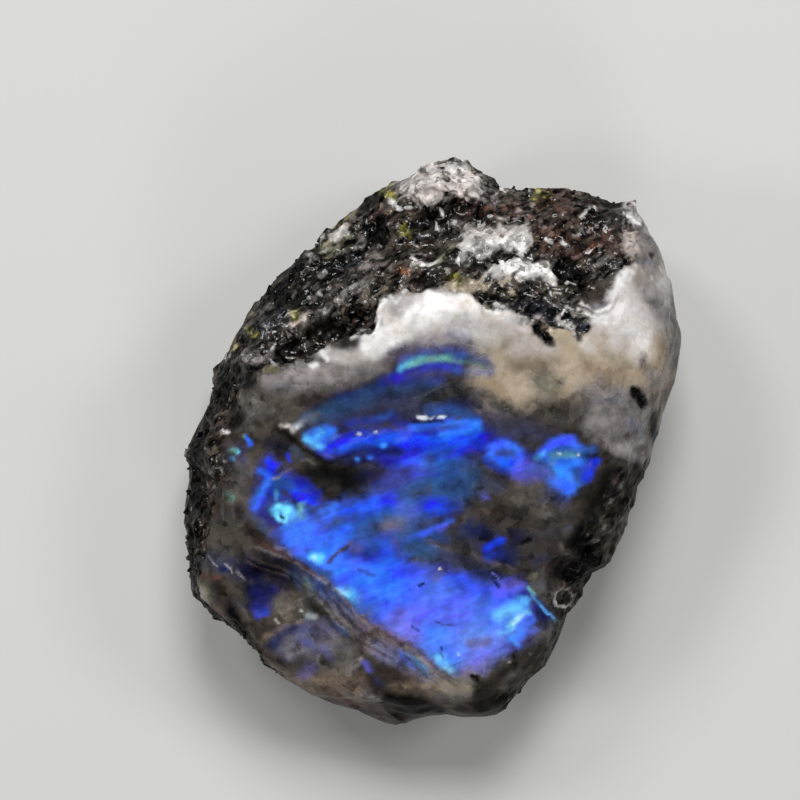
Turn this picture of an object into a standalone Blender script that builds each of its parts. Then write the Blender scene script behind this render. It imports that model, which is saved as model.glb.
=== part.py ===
"""A rough moonstone lying on its broad back, with its ground face up.

The stone is one natural solid: grey feldspar with a crust of dark schist grown on its top, left and right
edges. Its shape is a ball of triangles pressed out, along lines from the middle of the stone, until it meets the
outline's wall and the broken and ground facets, which meet in rounded edges. Millimetres here, metres in the mesh.
"""

import math

import bmesh
import bpy
import numpy as np
from mathutils import Vector, noise

MM = 0.001

# Plan outline at the stone's widest level, seen from above, clockwise from the knob at the top.
OUTLINE = [
    (-0.3, 11.2), (0.2, 11.45), (0.8, 11.5), (1.3, 11.1), (2.2, 10.7), (3.0, 10.35), (3.9, 10.3), (5.1, 10.3),
    (5.6, 10.1), (6.3, 10.1), (7.2, 9.8), (8.1, 9.6), (8.7, 8.9), (9.2, 7.8), (9.7, 6.4), (9.9, 5.0),
    (10.0, 4.1), (9.8, 2.8), (9.45, 1.4), (9.0, 0.0), (8.8, -1.2), (8.4, -2.4), (7.9, -3.6), (7.2, -4.8),
    (6.6, -5.6), (5.9, -6.8), (5.2, -7.85), (4.6, -9.0), (3.85, -9.95), (3.0, -10.75), (2.4, -10.95),
    (1.8, -10.85), (1.2, -11.1), (0.1, -11.05), (-0.7, -11.25), (-1.3, -11.5), (-1.8, -11.3), (-2.9, -10.9),
    (-4.1, -10.5), (-5.0, -9.9), (-6.2, -9.4), (-7.0, -8.75), (-7.7, -7.9), (-8.4, -7.25), (-9.0, -6.9),
    (-9.5, -6.3), (-9.8, -5.5), (-9.8, -4.4), (-10.0, -3.6), (-9.7, -2.3), (-9.7, -1.4), (-10.0, -0.4),
    (-9.6, 0.3), (-9.0, 1.7), (-8.6, 3.1), (-8.1, 4.2), (-7.0, 5.6), (-5.8, 7.0), (-4.55, 8.25), (-3.5, 9.25),
    (-2.55, 10.05), (-1.9, 10.5), (-1.1, 10.75),
]  # fmt: skip

# Height of the widest level over the resting face, at headings in degrees from +X.
RIM_LEVELS = {0: 4.8, 25: 4.0, 55: 3.2, 85: 4.4, 110: 3.4, 140: 4.6, 165: 3.2, 190: 4.4, 215: 3.4, 240: 4.4,
              265: 3.0, 290: 4.2, 320: 4.9, 345: 4.0}  # fmt: skip
WALL_LEAN = 14  # degrees that the wall leans inwards, above and below the widest level
WALL_ROUND = 1.2  # how high above and below that level the wall is still turning
WALL_SPARE = 0.12  # the wall starts this far outside the outline, because its lumps only cut into it

# Upper facets: a point on each, how steeply it falls in degrees, and the compass heading of its fall from +X.
UPPER_FACETS = {
    "ground face": ((0.0, 5.0, 9.0), 9, 268),
    "top crust": ((1.5, 6.2, 9.0), 33, 86),
    "upper left crust": ((-3.6, 5.0, 8.6), 42, 126),
    "left flank": ((-8.0, -1.0, 7.4), 40, 178),
    "lower left facet": ((-3.8, -6.4, 7.3), 17, 232),
    "foot": ((0.5, -9.4, 6.7), 42, 272),
    "lower right bevel": ((3.9, -7.2, 6.9), 44, 318),
    "right flank": ((7.7, -1.2, 7.5), 44, 340),
    "right shoulder": ((7.6, 4.0, 8.6), 33, 8),
}

# Breaks of the underside: where each leaves the resting face, how steeply it rises, and the heading of its rise.
UNDER_FACETS = {
    "right break": ((6.9, 1.0, 0.0), 38, 2),
    "upper right break": ((6.0, 6.8, 0.0), 26, 52),
    "back break": ((-0.4, 8.9, 0.0), 35, 97),
    "upper left break": ((-4.8, 5.2, 0.0), 24, 142),
    "left break": ((-7.6, -1.6, 0.0), 41, 188),
    "lower left break": ((-5.8, -6.6, 0.0), 25, 228),
    "front break": ((-0.2, -8.6, 0.0), 36, 268),
    "lower right break": ((4.6, -5.4, 0.0), 29, 318),
}
EDGE_SHARPNESS = 2.4  # per mm: higher meets the facets in a sharper edge

# Swellings (+) and hollows (-) of the upper side: centre, half-lengths along and across, turn, height.
SWELLS = {
    "bowl of the flash": ((-0.8, -1.4), (5.6, 3.6), 15, -0.8),
    "foot of the bowl": ((1.8, -6.2), (3.4, 1.9), -8, -0.5),
    "lip": ((-3.9, -6.0), (5.6, 0.8), -37, 0.45),
    "white crest": ((0.8, 5.0), (4.6, 1.5), 4, 0.45),
    "knob": ((0.7, 10.0), (1.7, 1.3), -20, 0.9),
    "crust hump": ((5.0, 8.6), (2.6, 1.2), -8, 0.5),
    "crust trough": ((1.6, 8.2), (2.6, 0.7), 4, -0.5),
    "left hump": ((-7.0, 3.6), (1.3, 1.0), 40, 0.6),
    "chip beside the crest": ((-4.4, 4.7), (1.9, 0.8), 32, -0.4),
    "left knuckle": ((-8.9, -0.6), (1.0, 0.9), 0, 0.5),
    "dimple": ((6.5, 5.9), (0.9, 0.7), -25, -0.3),
}

LUMP_SPAN = 2.4  # length of one lump of the rough surfaces
ROUGH_LUMP = 0.55  # their height on the crust, the wall and the underside
FACE_LUMP = 0.06  # and on the ground face
CRUST_LINE = ((-9.6, 0.6), (9.4, 7.2))  # the crust covers what lies beyond this line, up and left
CRUST_FADE = 1.5
FACE_REACH = 0.84  # the ground face ends at this share of the way out to the outline
RIM_LUMP = 0.45  # share of the wall's lumps that is left at the widest level
RIM_FADE = 1.3  # above and below that level, the lumps grow back over this height
LUMP_SEED = 3.0
LUMP_OCTAVES = 2

MIDDLE = Vector((0.0, 0.0, 4.4))  # where the ball is pressed out from
BALL_SUBDIVISIONS = 5
BALL_FLATNESS = 0.5  # crowds the triangles towards the wall, which is far from the middle
FAR = 16.0  # beyond the surface in every direction
HALVINGS = 30


def clear_scene():
    for obj in list(bpy.data.objects):
        bpy.data.objects.remove(obj)


def outline_distance(x, y):
    """Distance from the middle to the outline, along the heading of each point."""
    corners = np.array(OUTLINE)
    headings = np.arctan2(corners[:, 1], corners[:, 0])
    return np.interp(np.arctan2(y, x), headings, np.hypot(*corners.T), period=math.tau)


def rim_level(x, y):
    headings = np.degrees(np.arctan2(y, x))
    return np.interp(headings, list(RIM_LEVELS), list(RIM_LEVELS.values()), period=360)


def beyond_facets(facets, side, x, y, z):
    """How far each point is outside each facet; side is 1 for upper facets and -1 for under ones."""
    distances = []
    for (px, py, pz), tilt, heading in facets.values():
        away, steep = math.radians(heading), math.radians(tilt)
        level_run = (x - px) * math.cos(away) + (y - py) * math.sin(away)
        distances.append(level_run * math.sin(steep) + side * (z - pz) * math.cos(steep))
    return distances


def rounded_meeting(distances):
    """The largest of the distances, with rounded edges where two of them meet."""
    return np.log(sum(np.exp(EDGE_SHARPNESS * d) for d in distances)) / EDGE_SHARPNESS


def swell_height(x, y):
    total = 0.0
    for (cx, cy), (along, across), turn, height in SWELLS.values():
        c, s = math.cos(math.radians(turn)), math.sin(math.radians(turn))
        a = ((x - cx) * c + (y - cy) * s) / along
        b = ((y - cy) * c - (x - cx) * s) / across
        total = total + height * np.exp(-(a * a + b * b))
    return total


def outside(points):
    """How far each point is outside the stone: negative within it."""
    x, y, z = points.T
    lean = math.tan(math.radians(WALL_LEAN)) * (np.hypot(z - rim_level(x, y), WALL_ROUND) - WALL_ROUND)
    wall = np.hypot(x, y) - outline_distance(x, y) - WALL_SPARE + lean
    upper = [d - swell_height(x, y) for d in beyond_facets(UPPER_FACETS, 1, x, y, z)]
    return rounded_meeting([wall] + upper + beyond_facets(UNDER_FACETS, -1, x, y, z))


def crust_share(x, y):
    """0 on the feldspar side of the crust's line, 1 well inside the crust."""
    (ax, ay), (bx, by) = CRUST_LINE
    beyond = ((bx - ax) * (y - ay) - (by - ay) * (x - ax)) / math.hypot(bx - ax, by - ay)
    return np.clip(beyond / CRUST_FADE, 0.0, 1.0)


def lump_height(points):
    """Rough everywhere but on the ground face. Lumps of the wall only cut into it, least at its widest."""
    x, y, z = points.T
    on_wall = np.clip((np.hypot(x, y) / outline_distance(x, y) - FACE_REACH) / (1 - FACE_REACH), 0.0, 1.0)
    below = np.clip(MIDDLE.z + 1 - z, 0.0, 1.0)
    height = FACE_LUMP + (ROUGH_LUMP - FACE_LUMP) * np.maximum(np.maximum(crust_share(x, y), on_wall), below)
    off_rim = RIM_LUMP + (1 - RIM_LUMP) * np.clip(np.abs(z - rim_level(x, y)) / RIM_FADE, 0.0, 1.0)
    shift = Vector((0, 0, LUMP_SEED))
    lumps = np.array([noise.fractal(Vector(p) / LUMP_SPAN + shift, 0.8, 2.1, LUMP_OCTAVES) for p in points])
    return height * ((1 - on_wall) * lumps + on_wall * off_rim * (lumps - 0.5))


def stone_points(directions):
    """Press points of the unit ball out to the stone's surface, by halving the way to it."""
    flat = directions * np.array((1.0, 1.0, BALL_FLATNESS))
    rays = flat / np.linalg.norm(flat, axis=1, keepdims=True)
    near, far = np.zeros(len(rays)), np.full(len(rays), FAR)
    for _ in range(HALVINGS):
        half = (near + far) / 2
        inside = outside(np.array(MIDDLE) + rays * half[:, None]) < 0
        near, far = np.where(inside, half, near), np.where(inside, far, half)
    points = np.array(MIDDLE) + rays * near[:, None]
    points += rays * lump_height(points)[:, None]
    points[:, 2] = np.maximum(points[:, 2], 0.0)
    return points


def stone_mesh():
    bm = bmesh.new()
    bmesh.ops.create_icosphere(bm, subdivisions=BALL_SUBDIVISIONS, radius=1.0)
    points = stone_points(np.array([vertex.co.normalized() for vertex in bm.verts]))
    low, high = points.min(axis=0), points.max(axis=0)
    points -= np.array(((low[0] + high[0]) / 2, (low[1] + high[1]) / 2, low[2]))
    for vertex, point in zip(bm.verts, points):
        vertex.co = Vector(point) * MM
    bmesh.ops.recalc_face_normals(bm, faces=bm.faces)
    mesh = bpy.data.meshes.new("moonstone")
    bm.to_mesh(mesh)
    bm.free()
    mesh.shade_smooth()
    return mesh


def stone_material():
    """Smoky grey feldspar, wet-looking where it is ground."""
    material = bpy.data.materials.new("moonstone")
    material.use_nodes = True
    shader = material.node_tree.nodes["Principled BSDF"]
    shader.inputs["Base Color"].default_value = (0.12, 0.13, 0.2, 1.0)
    shader.inputs["Roughness"].default_value = 0.35
    shader.inputs["Metallic"].default_value = 0.0
    return material


def main():
    clear_scene()
    collection = bpy.data.collections.new("rough_moonstone")
    bpy.context.scene.collection.children.link(collection)
    stone = bpy.data.objects.new("moonstone", stone_mesh())
    stone.data.materials.append(stone_material())
    collection.objects.link(stone)


main()
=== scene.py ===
import math
from types import SimpleNamespace

import bmesh
import bpy
import numpy as np
from mathutils import Matrix, Vector, noise
from mathutils.bvhtree import BVHTree


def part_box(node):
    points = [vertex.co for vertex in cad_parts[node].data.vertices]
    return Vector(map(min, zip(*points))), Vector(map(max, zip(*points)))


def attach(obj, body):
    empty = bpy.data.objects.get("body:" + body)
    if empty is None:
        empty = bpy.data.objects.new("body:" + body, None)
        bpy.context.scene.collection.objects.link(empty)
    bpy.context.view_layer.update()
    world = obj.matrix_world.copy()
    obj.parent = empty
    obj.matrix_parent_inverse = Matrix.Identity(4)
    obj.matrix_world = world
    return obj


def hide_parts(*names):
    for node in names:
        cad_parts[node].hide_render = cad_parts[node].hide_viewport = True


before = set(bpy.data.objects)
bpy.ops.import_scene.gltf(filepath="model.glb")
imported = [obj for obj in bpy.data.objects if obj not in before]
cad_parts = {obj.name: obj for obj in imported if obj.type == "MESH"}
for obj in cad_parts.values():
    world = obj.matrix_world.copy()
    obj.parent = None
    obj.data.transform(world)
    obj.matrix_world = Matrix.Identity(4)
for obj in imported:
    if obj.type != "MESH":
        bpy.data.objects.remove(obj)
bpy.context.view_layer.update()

# ----------------------------------------------------------------------------------------------------------
# The camera looks straight down on the stone's ground face, with the crusted end at the top of its view, from
# far enough away that the crest hardly leans outwards.
MM = 0.001
VIEW_WIDTH = 32.0 * MM  # what the view takes in across, at the level of the stone's outline
VIEW_LEVEL = 4.0 * MM
VIEW_CENTRE = (-1.28 * MM, 1.64 * MM)
CAMERA_HEIGHT = 200.0 * MM
CAMERA_REACH = (0.01, 10.0)  # the nearest and the farthest that it shows, in metres

camera_data = bpy.data.cameras.new("camera")
camera_data.lens = camera_data.sensor_width * (CAMERA_HEIGHT - VIEW_LEVEL) / VIEW_WIDTH
camera_data.clip_start, camera_data.clip_end = CAMERA_REACH
camera = bpy.data.objects.new("camera", camera_data)
camera.location = (*VIEW_CENTRE, CAMERA_HEIGHT)
bpy.context.scene.collection.objects.link(camera)
bpy.context.scene.camera = camera

# ----------------------------------------------------------------------------------------------------------
# The floor is a plain sheet of pale card, and the light comes from soft boxes: a large one high beyond the
# crusted end, whose reflection lies along the crest, and weaker ones at the sides. The room itself is dim, so
# that black grains stay black.
FLOOR_SIZE = 1.2
FLOOR_CARD = (0.72, 0.72, 0.7092, 1.0)
FLOOR_ROUGHNESS = 0.9
ROOM_LIGHT = (0.07, 0.07, 0.07, 1.0)
SOFT_BOXES = {  # heading from +X and height in degrees, distance and side of the box in metres, watts
    "key": (86, 54, 0.34, 0.13, 0.66),
    "far left": (132, 44, 0.34, 0.08, 0.24),
    "left": (188, 40, 0.36, 0.09, 0.17),
    "right": (20, 46, 0.36, 0.09, 0.2),
    "front": (285, 36, 0.38, 0.12, 0.2),
}

floor_mesh = bpy.data.meshes.new("floor")
bm = bmesh.new()
bmesh.ops.create_grid(bm, x_segments=1, y_segments=1, size=FLOOR_SIZE / 2)
bm.to_mesh(floor_mesh)
bm.free()
floor = bpy.data.objects.new("floor", floor_mesh)
floor_card = bpy.data.materials.new("pale card")
floor_card.use_nodes = True
card = floor_card.node_tree.nodes["Principled BSDF"].inputs
card["Base Color"].default_value = FLOOR_CARD
card["Roughness"].default_value = FLOOR_ROUGHNESS
floor_mesh.materials.append(floor_card)
bpy.context.scene.collection.objects.link(floor)

for name, (heading, height, distance, side, watts) in SOFT_BOXES.items():
    box_light = bpy.data.lights.new(name, "AREA")
    box_light.shape = "SQUARE"
    box_light.size = side
    box_light.energy = watts
    box = bpy.data.objects.new(name, box_light)
    around = math.radians(heading)
    above = math.radians(height)
    level = math.cos(above)
    towards = Vector((math.cos(around) * level, math.sin(around) * level, math.sin(above)))
    box.location = towards * distance
    box.rotation_euler = box.location.to_track_quat("Z", "Y").to_euler()
    bpy.context.scene.collection.objects.link(box)

world = bpy.data.worlds.new("room")
world.use_nodes = True
world.node_tree.nodes["Background"].inputs["Color"].default_value = ROOM_LIGHT
bpy.context.scene.world = world
bpy.context.scene.view_settings.view_transform = "Standard"

# ----------------------------------------------------------------------------------------------------------
# The stone: smoky feldspar, ground by hand on the face that flashes blue, milky along its crest and cream on
# its shoulder. A crust of dark schist, grown into it, covers the far end and the left margin, and the walls
# and the underside are as they broke. Sizes are in millimetres, until the mesh is brought to metres.
MERGE_GAP = 0.001 * MM  # corners closer than this are one
SKIN_VOXEL = 0.08  # side of the fine mesh's squares
SKIN_ROUNDING = 8  # passes that round off the coarse solid's edges
ROUNDING_STEP = 0.5
SKIN_TRIANGLES = 190_000  # left after the walls and the underside are thinned out
UNSEEN_TILT = 0.3  # a wall faces up by less than this
UNSEEN_LEVEL = 1.0  # and the underside lies below this
THINNING = 100.0  # how much sooner those two are thinned than the rest
NOISE_SEED = 5  # without one the noise's draws would follow the clock
NOISE_FALL = 0.9  # how fast its finer octaves fade
NOISE_STEP = 2.1  # how much finer each octave is
noise.seed_set(NOISE_SEED)


def read(rows, field):
    """One vector for each of a mesh's vertices or normals."""
    values = np.empty(len(rows) * 3, np.float32)
    rows.foreach_get(field, values)
    return values.reshape(-1, 3).astype(float)


def evaluated(source):
    """The plain mesh that an object's modifiers make."""
    return bpy.data.meshes.new_from_object(source.evaluated_get(bpy.context.evaluated_depsgraph_get()))


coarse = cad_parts["moonstone"]
bm = bmesh.new()
bm.from_mesh(coarse.data)
bmesh.ops.remove_doubles(bm, verts=bm.verts, dist=MERGE_GAP)
bmesh.ops.scale(bm, vec=(1 / MM,) * 3, verts=bm.verts)
solid = BVHTree.FromBMesh(bm)
blank_mesh = bpy.data.meshes.new("blank")
bm.to_mesh(blank_mesh)
bm.free()
blank = bpy.data.objects.new("blank", blank_mesh)
bpy.context.scene.collection.objects.link(blank)
fine = blank.modifiers.new("fine mesh", "REMESH")
fine.mode = "VOXEL"
fine.voxel_size = SKIN_VOXEL
rounding = blank.modifiers.new("rounding", "SMOOTH")
rounding.factor = ROUNDING_STEP
rounding.iterations = SKIN_ROUNDING
skin = evaluated(blank)
blank.modifiers.clear()
blank.data = skin
is_wall = read(skin.vertex_normals, "vector")[:, 2] < UNSEEN_TILT
is_under = read(skin.vertices, "co")[:, 2] < UNSEEN_LEVEL
unseen = blank.vertex_groups.new(name="walls and underside")
unseen.add(np.nonzero(is_wall | is_under)[0].tolist(), 1.0, "REPLACE")
thinner = blank.modifiers.new("thinner", "DECIMATE")
thinner.ratio = SKIN_TRIANGLES / (2 * len(skin.polygons))
thinner.vertex_group = unseen.name
thinner.vertex_group_factor = THINNING
skin = evaluated(blank)
bpy.data.objects.remove(blank)
skin.name = "moonstone_skin"
place = read(skin.vertices, "co")
facing = read(skin.vertex_normals, "vector")

# What the eye sees on it is laid on in strokes of these finishes, each mixed over the ones before it.
FINISHES = {  # red, green, blue as seen, 0 to 255
    "ink": (13, 12, 13), "pitch": (24, 23, 20), "moss_black": (40, 40, 34), "umber": (50, 42, 38),
    "rust": (84, 58, 50), "smoke": (74, 68, 62), "soot": (54, 51, 50), "slate": (58, 62, 74),
    "ash": (112, 107, 104), "mauve": (98, 86, 96), "pearl": (160, 153, 152), "milk": (206, 200, 196),
    "chalk": (243, 240, 238), "pink": (200, 180, 174), "cream": (178, 163, 142), "tan": (132, 114, 98),
    "ochre": (116, 106, 84), "olive_grey": (128, 126, 104), "moss": (140, 134, 64), "orange": (150, 92, 52),
    "navy": (24, 34, 72), "indigo": (24, 26, 118), "royal": (30, 62, 240), "azure": (48, 118, 252),
    "sky": (92, 188, 250), "cyan": (120, 226, 255), "white_blue": (190, 240, 255), "teal": (112, 182, 168),
    "steel": (46, 86, 158), "violet": (92, 92, 236), "lilac": (122, 120, 224), "blue": (58, 104, 250),
    "deep": (26, 46, 164), "periwinkle": (100, 106, 230), "night": (26, 27, 56), "dusk": (52, 54, 80),
    # chalk and milk are the stone's white feldspar and also painted highlights; glint is only a painted
    # highlight
    "petrol": (46, 76, 112), "glint": (228, 236, 248),
}
GLOW = {  # how much of a finish glows by emission, painted light: for the flash it stands for light thrown back from inside the stone, for glint a painted highlight
    "navy": 0.2, "indigo": 0.6, "royal": 1.0, "azure": 1.0, "sky": 1.0, "cyan": 1.0, "white_blue": 1.0,
    "teal": 0.5, "steel": 0.6, "violet": 0.9, "lilac": 0.7, "blue": 1.0, "deep": 0.9, "periwinkle": 0.9,
    "night": 0.15, "dusk": 0.3, "petrol": 0.4, "glint": 0.8,
}
# A stroke's path goes through points of the camera's view, counted in 800 steps across it and down from its
# top left corner, and its width and edge are in steps too. They are brought onto the stone further down.
VIEW_STEPS = 800
STEP = 1 / 25.5  # what one step takes in on the ground face, in millimetres
PLACES_PER_MM = 20  # a stroke's points are set to the nearest of these
WIDTH_DECIMALS = 2  # kept of a stroke's width in millimetres
# Each stroke: finish, how strongly it covers, half its width, how soft its edge is, and its path.
GREY_STROKES = [
    # the feldspar's own greys, from the left margin round to the right
    ("soot", 1.0, 70, 40, [(470, 500), (520, 520), (560, 480)]),
    ("ash", 0.6, 14, 12, [(250, 400), (275, 410)]),
    ("smoke", 0.9, 26, 14, [(215, 430), (250, 470), (240, 540)]),
    ("umber", 0.8, 10, 8, [(235, 432), (262, 432), (285, 438)]),
    ("smoke", 0.9, 14, 10, [(262, 425), (300, 408), (330, 402)]),
    ("dusk", 0.9, 15, 10, [(322, 416), (360, 404), (400, 402), (440, 400)]),
    ("ash", 0.5, 12, 9, [(345, 378), (370, 368), (395, 352)]),
    ("umber", 0.7, 9, 7, [(300, 394), (340, 391), (375, 384), (395, 373)]),
    ("navy", 0.8, 7, 6, [(335, 406), (352, 398), (378, 390)]),
    ("petrol", 0.7, 4, 4, [(346, 400), (362, 394), (378, 387)]),
    ("petrol", 0.6, 7, 6, [(398, 397), (408, 386)]),
    ("slate", 0.8, 10, 8, [(402, 407), (440, 390)]),
    ("petrol", 0.7, 4, 3.5, [(302, 421), (320, 412), (338, 404)]),
    ("slate", 0.8, 12, 9, [(420, 395), (460, 392), (492, 395)]),
    ("moss_black", 0.7, 7, 6, [(432, 399), (462, 390)]),
    ("dusk", 0.9, 9, 7, [(450, 408), (480, 408), (500, 413)]),
    ("ash", 0.5, 3, 4, [(493, 407), (506, 412)]),
    ("dusk", 0.9, 14, 10, [(505, 426), (542, 430)]),
    ("smoke", 0.9, 12, 9, [(545, 418), (578, 414)]),
    ("mauve", 0.7, 8, 7, [(365, 364), (395, 352), (415, 345)]),
    # the milky crest, whose white is partly a painted highlight, the reflection of the light along it; its
    # short chalk strokes are painted glints, those by the chip a painted highlight on its edge
    ("ash", 1.0, 16, 10, [(292, 378), (335, 372), (372, 360)]),
    ("pearl", 0.7, 9, 8, [(330, 372), (372, 358)]),
    ("pearl", 0.9, 6, 5, [(268, 380), (284, 378)]),
    ("pearl", 1.0, 9, 6, [(298, 375), (325, 371)]),
    ("milk", 0.8, 7, 5, [(322, 352), (345, 358), (372, 352)]),
    ("chalk", 0.9, 2.5, 2.5, [(311, 366), (316, 364)]),
    ("chalk", 0.9, 2.5, 2, [(322, 352), (327, 359)]),
    ("chalk", 1.0, 12, 8, [(372, 345), (398, 330), (430, 316), (470, 312), (505, 320)]),
    ("chalk", 1.0, 9, 6, [(388, 310), (420, 298), (465, 302)]),
    ("milk", 1.0, 13, 10, [(430, 322), (480, 328), (525, 332)]),
    ("chalk", 0.6, 9, 9, [(400, 330), (440, 326)]),
    ("milk", 0.9, 9, 8, [(415, 338), (455, 332), (490, 342)]),
    ("pearl", 0.7, 6, 5, [(395, 308), (402, 300)]),
    ("chalk", 1.0, 7, 4, [(366, 345), (380, 341)]),
    ("chalk", 1.0, 3, 1.5, [(384, 300), (379, 312), (376, 325), (374, 336)]),
    ("chalk", 1.0, 2.5, 2, [(352, 338), (364, 336)]),
    ("chalk", 0.9, 1.6, 1.2, [(389, 294), (395, 302)]),
    ("chalk", 0.8, 2.5, 2, [(386, 322), (391, 314)]),
    ("chalk", 0.9, 2.5, 2, [(408, 314), (420, 305)]),
    ("chalk", 0.9, 3, 2, [(421, 297), (425, 293)]),
    ("chalk", 1.0, 5, 3, [(450, 302), (470, 305)]),
    ("chalk", 1.0, 4, 3, [(438, 319), (449, 318)]),
    # its cream shoulder
    ("cream", 1.0, 34, 14, [(505, 376), (560, 368), (622, 368)]),
    ("cream", 1.0, 30, 14, [(560, 362), (640, 360)]),
    ("cream", 1.0, 24, 12, [(560, 345), (640, 345)]),
    ("milk", 0.7, 12, 10, [(520, 345), (545, 350)]),
    ("milk", 1.0, 24, 12, [(605, 330), (640, 315), (650, 280)]),
    ("milk", 0.8, 16, 10, [(625, 300), (645, 330)]),
    ("milk", 1.0, 5, 5, [(592, 343), (606, 343)]),
    ("ash", 0.4, 12, 10, [(645, 286), (664, 300)]),
    ("pearl", 0.7, 8, 7, [(648, 300), (655, 330)]),
    ("chalk", 0.6, 2, 2, [(634, 272), (642, 280)]),
    ("chalk", 0.6, 2, 2, [(652, 275), (660, 290)]),
    ("chalk", 0.5, 3, 3, [(622, 330), (640, 326)]),
    ("tan", 0.7, 8, 9, [(520, 362), (550, 365)]),
    ("ochre", 0.9, 12, 8, [(540, 378), (556, 388)]),
    ("olive_grey", 0.7, 6, 6, [(545, 383)]),
    ("tan", 0.6, 10, 9, [(590, 372), (625, 376)]),
    ("olive_grey", 0.6, 3, 2.5, [(608, 356), (612, 359)]),
    ("ash", 0.9, 13, 9, [(585, 396), (640, 398)]),
    ("ash", 0.9, 16, 10, [(600, 420), (640, 425)]),
    ("slate", 0.35, 6, 5, [(620, 400), (645, 408)]),
    ("pearl", 0.4, 5, 4, [(600, 440), (622, 452), (640, 456)]),
    ("slate", 0.5, 5, 5, [(608, 413)]),
    ("slate", 0.5, 5, 5, [(628, 423)]),
    ("smoke", 0.8, 12, 9, [(545, 408), (580, 408)]),
    ("milk", 0.4, 5, 5, [(626, 447), (648, 440)]),
    ("pearl", 0.5, 6, 6, [(590, 424), (605, 432)]),
    ("ash", 0.9, 6, 5, [(668, 320), (674, 350)]),
    ("tan", 0.8, 8, 6, [(666, 360), (660, 395)]),
    ("umber", 0.7, 5, 4, [(668, 385), (655, 412), (650, 440)]),
    ("cream", 0.5, 8, 6, [(660, 340), (662, 368)]),
    ("ash", 0.6, 7, 5, [(640, 365), (650, 372), (655, 385)]),
    ("ash", 0.5, 9, 7, [(640, 282), (655, 296), (662, 315)]),
    ("slate", 0.3, 6, 5, [(646, 292), (656, 306)]),
    ("chalk", 0.6, 11, 9, [(628, 316), (644, 332), (640, 352)]),
    # and its smoky middle
    ("soot", 0.8, 7, 6, [(418, 399), (440, 393), (470, 392), (492, 397), (504, 407)]),
    ("night", 0.5, 6, 6, [(452, 403), (480, 403)]),
    ("slate", 0.5, 2.5, 2.5, [(493, 402), (500, 408), (504, 413)]),
    ("soot", 0.6, 8, 7, [(505, 420), (530, 422)]),
    ("smoke", 0.7, 9, 8, [(548, 418), (575, 420)]),
    ("umber", 0.4, 5, 5, [(545, 428), (572, 430)]),
    ("ink", 0.5, 3, 3, [(243, 413), (252, 419), (262, 427)]),
    ("smoke", 0.5, 9, 8, [(255, 402), (280, 408)]),
    ("pearl", 0.3, 16, 12, [(600, 412), (640, 418)]),
    ("ash", 0.3, 18, 12, [(232, 465), (240, 505)]),
    ("milk", 0.5, 12, 10, [(625, 300), (640, 320)]),
    ("smoke", 0.6, 3, 4, [(386, 291), (405, 286), (425, 286), (445, 290), (456, 295)]),
    ("milk", 0.4, 8, 7, [(420, 334), (460, 330), (495, 336)]),
    ("pearl", 0.7, 8, 6, [(393, 306), (405, 299), (417, 295)]),
    # partly painted shade: lilac-grey under the crest's highlight band, where the crest turns away from the
    # light
    ("mauve", 0.25, 7, 8, [(412, 344), (430, 335), (452, 335), (466, 342)]),
    ("slate", 0.22, 8, 8, [(450, 320), (472, 324)]),
    # painted glints on the crest, and after them a painted highlight band along it
    ("chalk", 0.8, 1.3, 1.2, [(401, 292), (406, 290)]),
    ("chalk", 0.8, 1.3, 1.2, [(412, 291), (420, 291)]),
    ("chalk", 0.8, 1.3, 1.2, [(408, 311), (413, 306)]),
    ("chalk", 0.7, 1.3, 1.2, [(396, 302), (399, 297)]),
    ("chalk", 0.9, 5, 6, [(376, 339), (400, 330), (425, 318), (447, 306), (465, 301)]),
    ("cream", 0.6, 7, 6, [(584, 332), (595, 338), (604, 349)]),
    ("tan", 0.5, 6, 5, [(664, 345), (668, 378), (660, 408)]),
    ("umber", 0.5, 3, 3, [(668, 350), (666, 372)]),
    ("umber", 0.5, 3, 3, [(645, 355), (642, 368)]),
    ("umber", 0.5, 3, 3, [(672, 384), (664, 404)]),
    ("ash", 0.5, 6, 5, [(644, 280), (654, 290)]),
    ("slate", 0.3, 5, 4, [(654, 303), (666, 312)]),
    ("ochre", 0.55, 5, 5, [(668, 334), (672, 352), (668, 372)]),
    ("ochre", 0.45, 6, 6, [(662, 376), (660, 396), (655, 420)]),
    ("umber", 0.6, 2.5, 2.5, [(671, 345), (669, 362)]),
    ("smoke", 0.4, 3, 3, [(642, 352), (640, 366)]),
    ("ash", 0.45, 5, 4, [(646, 288), (652, 300), (655, 312)]),
    ("steel", 0.2, 3, 3, [(630, 420), (634, 424)]),
]
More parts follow.
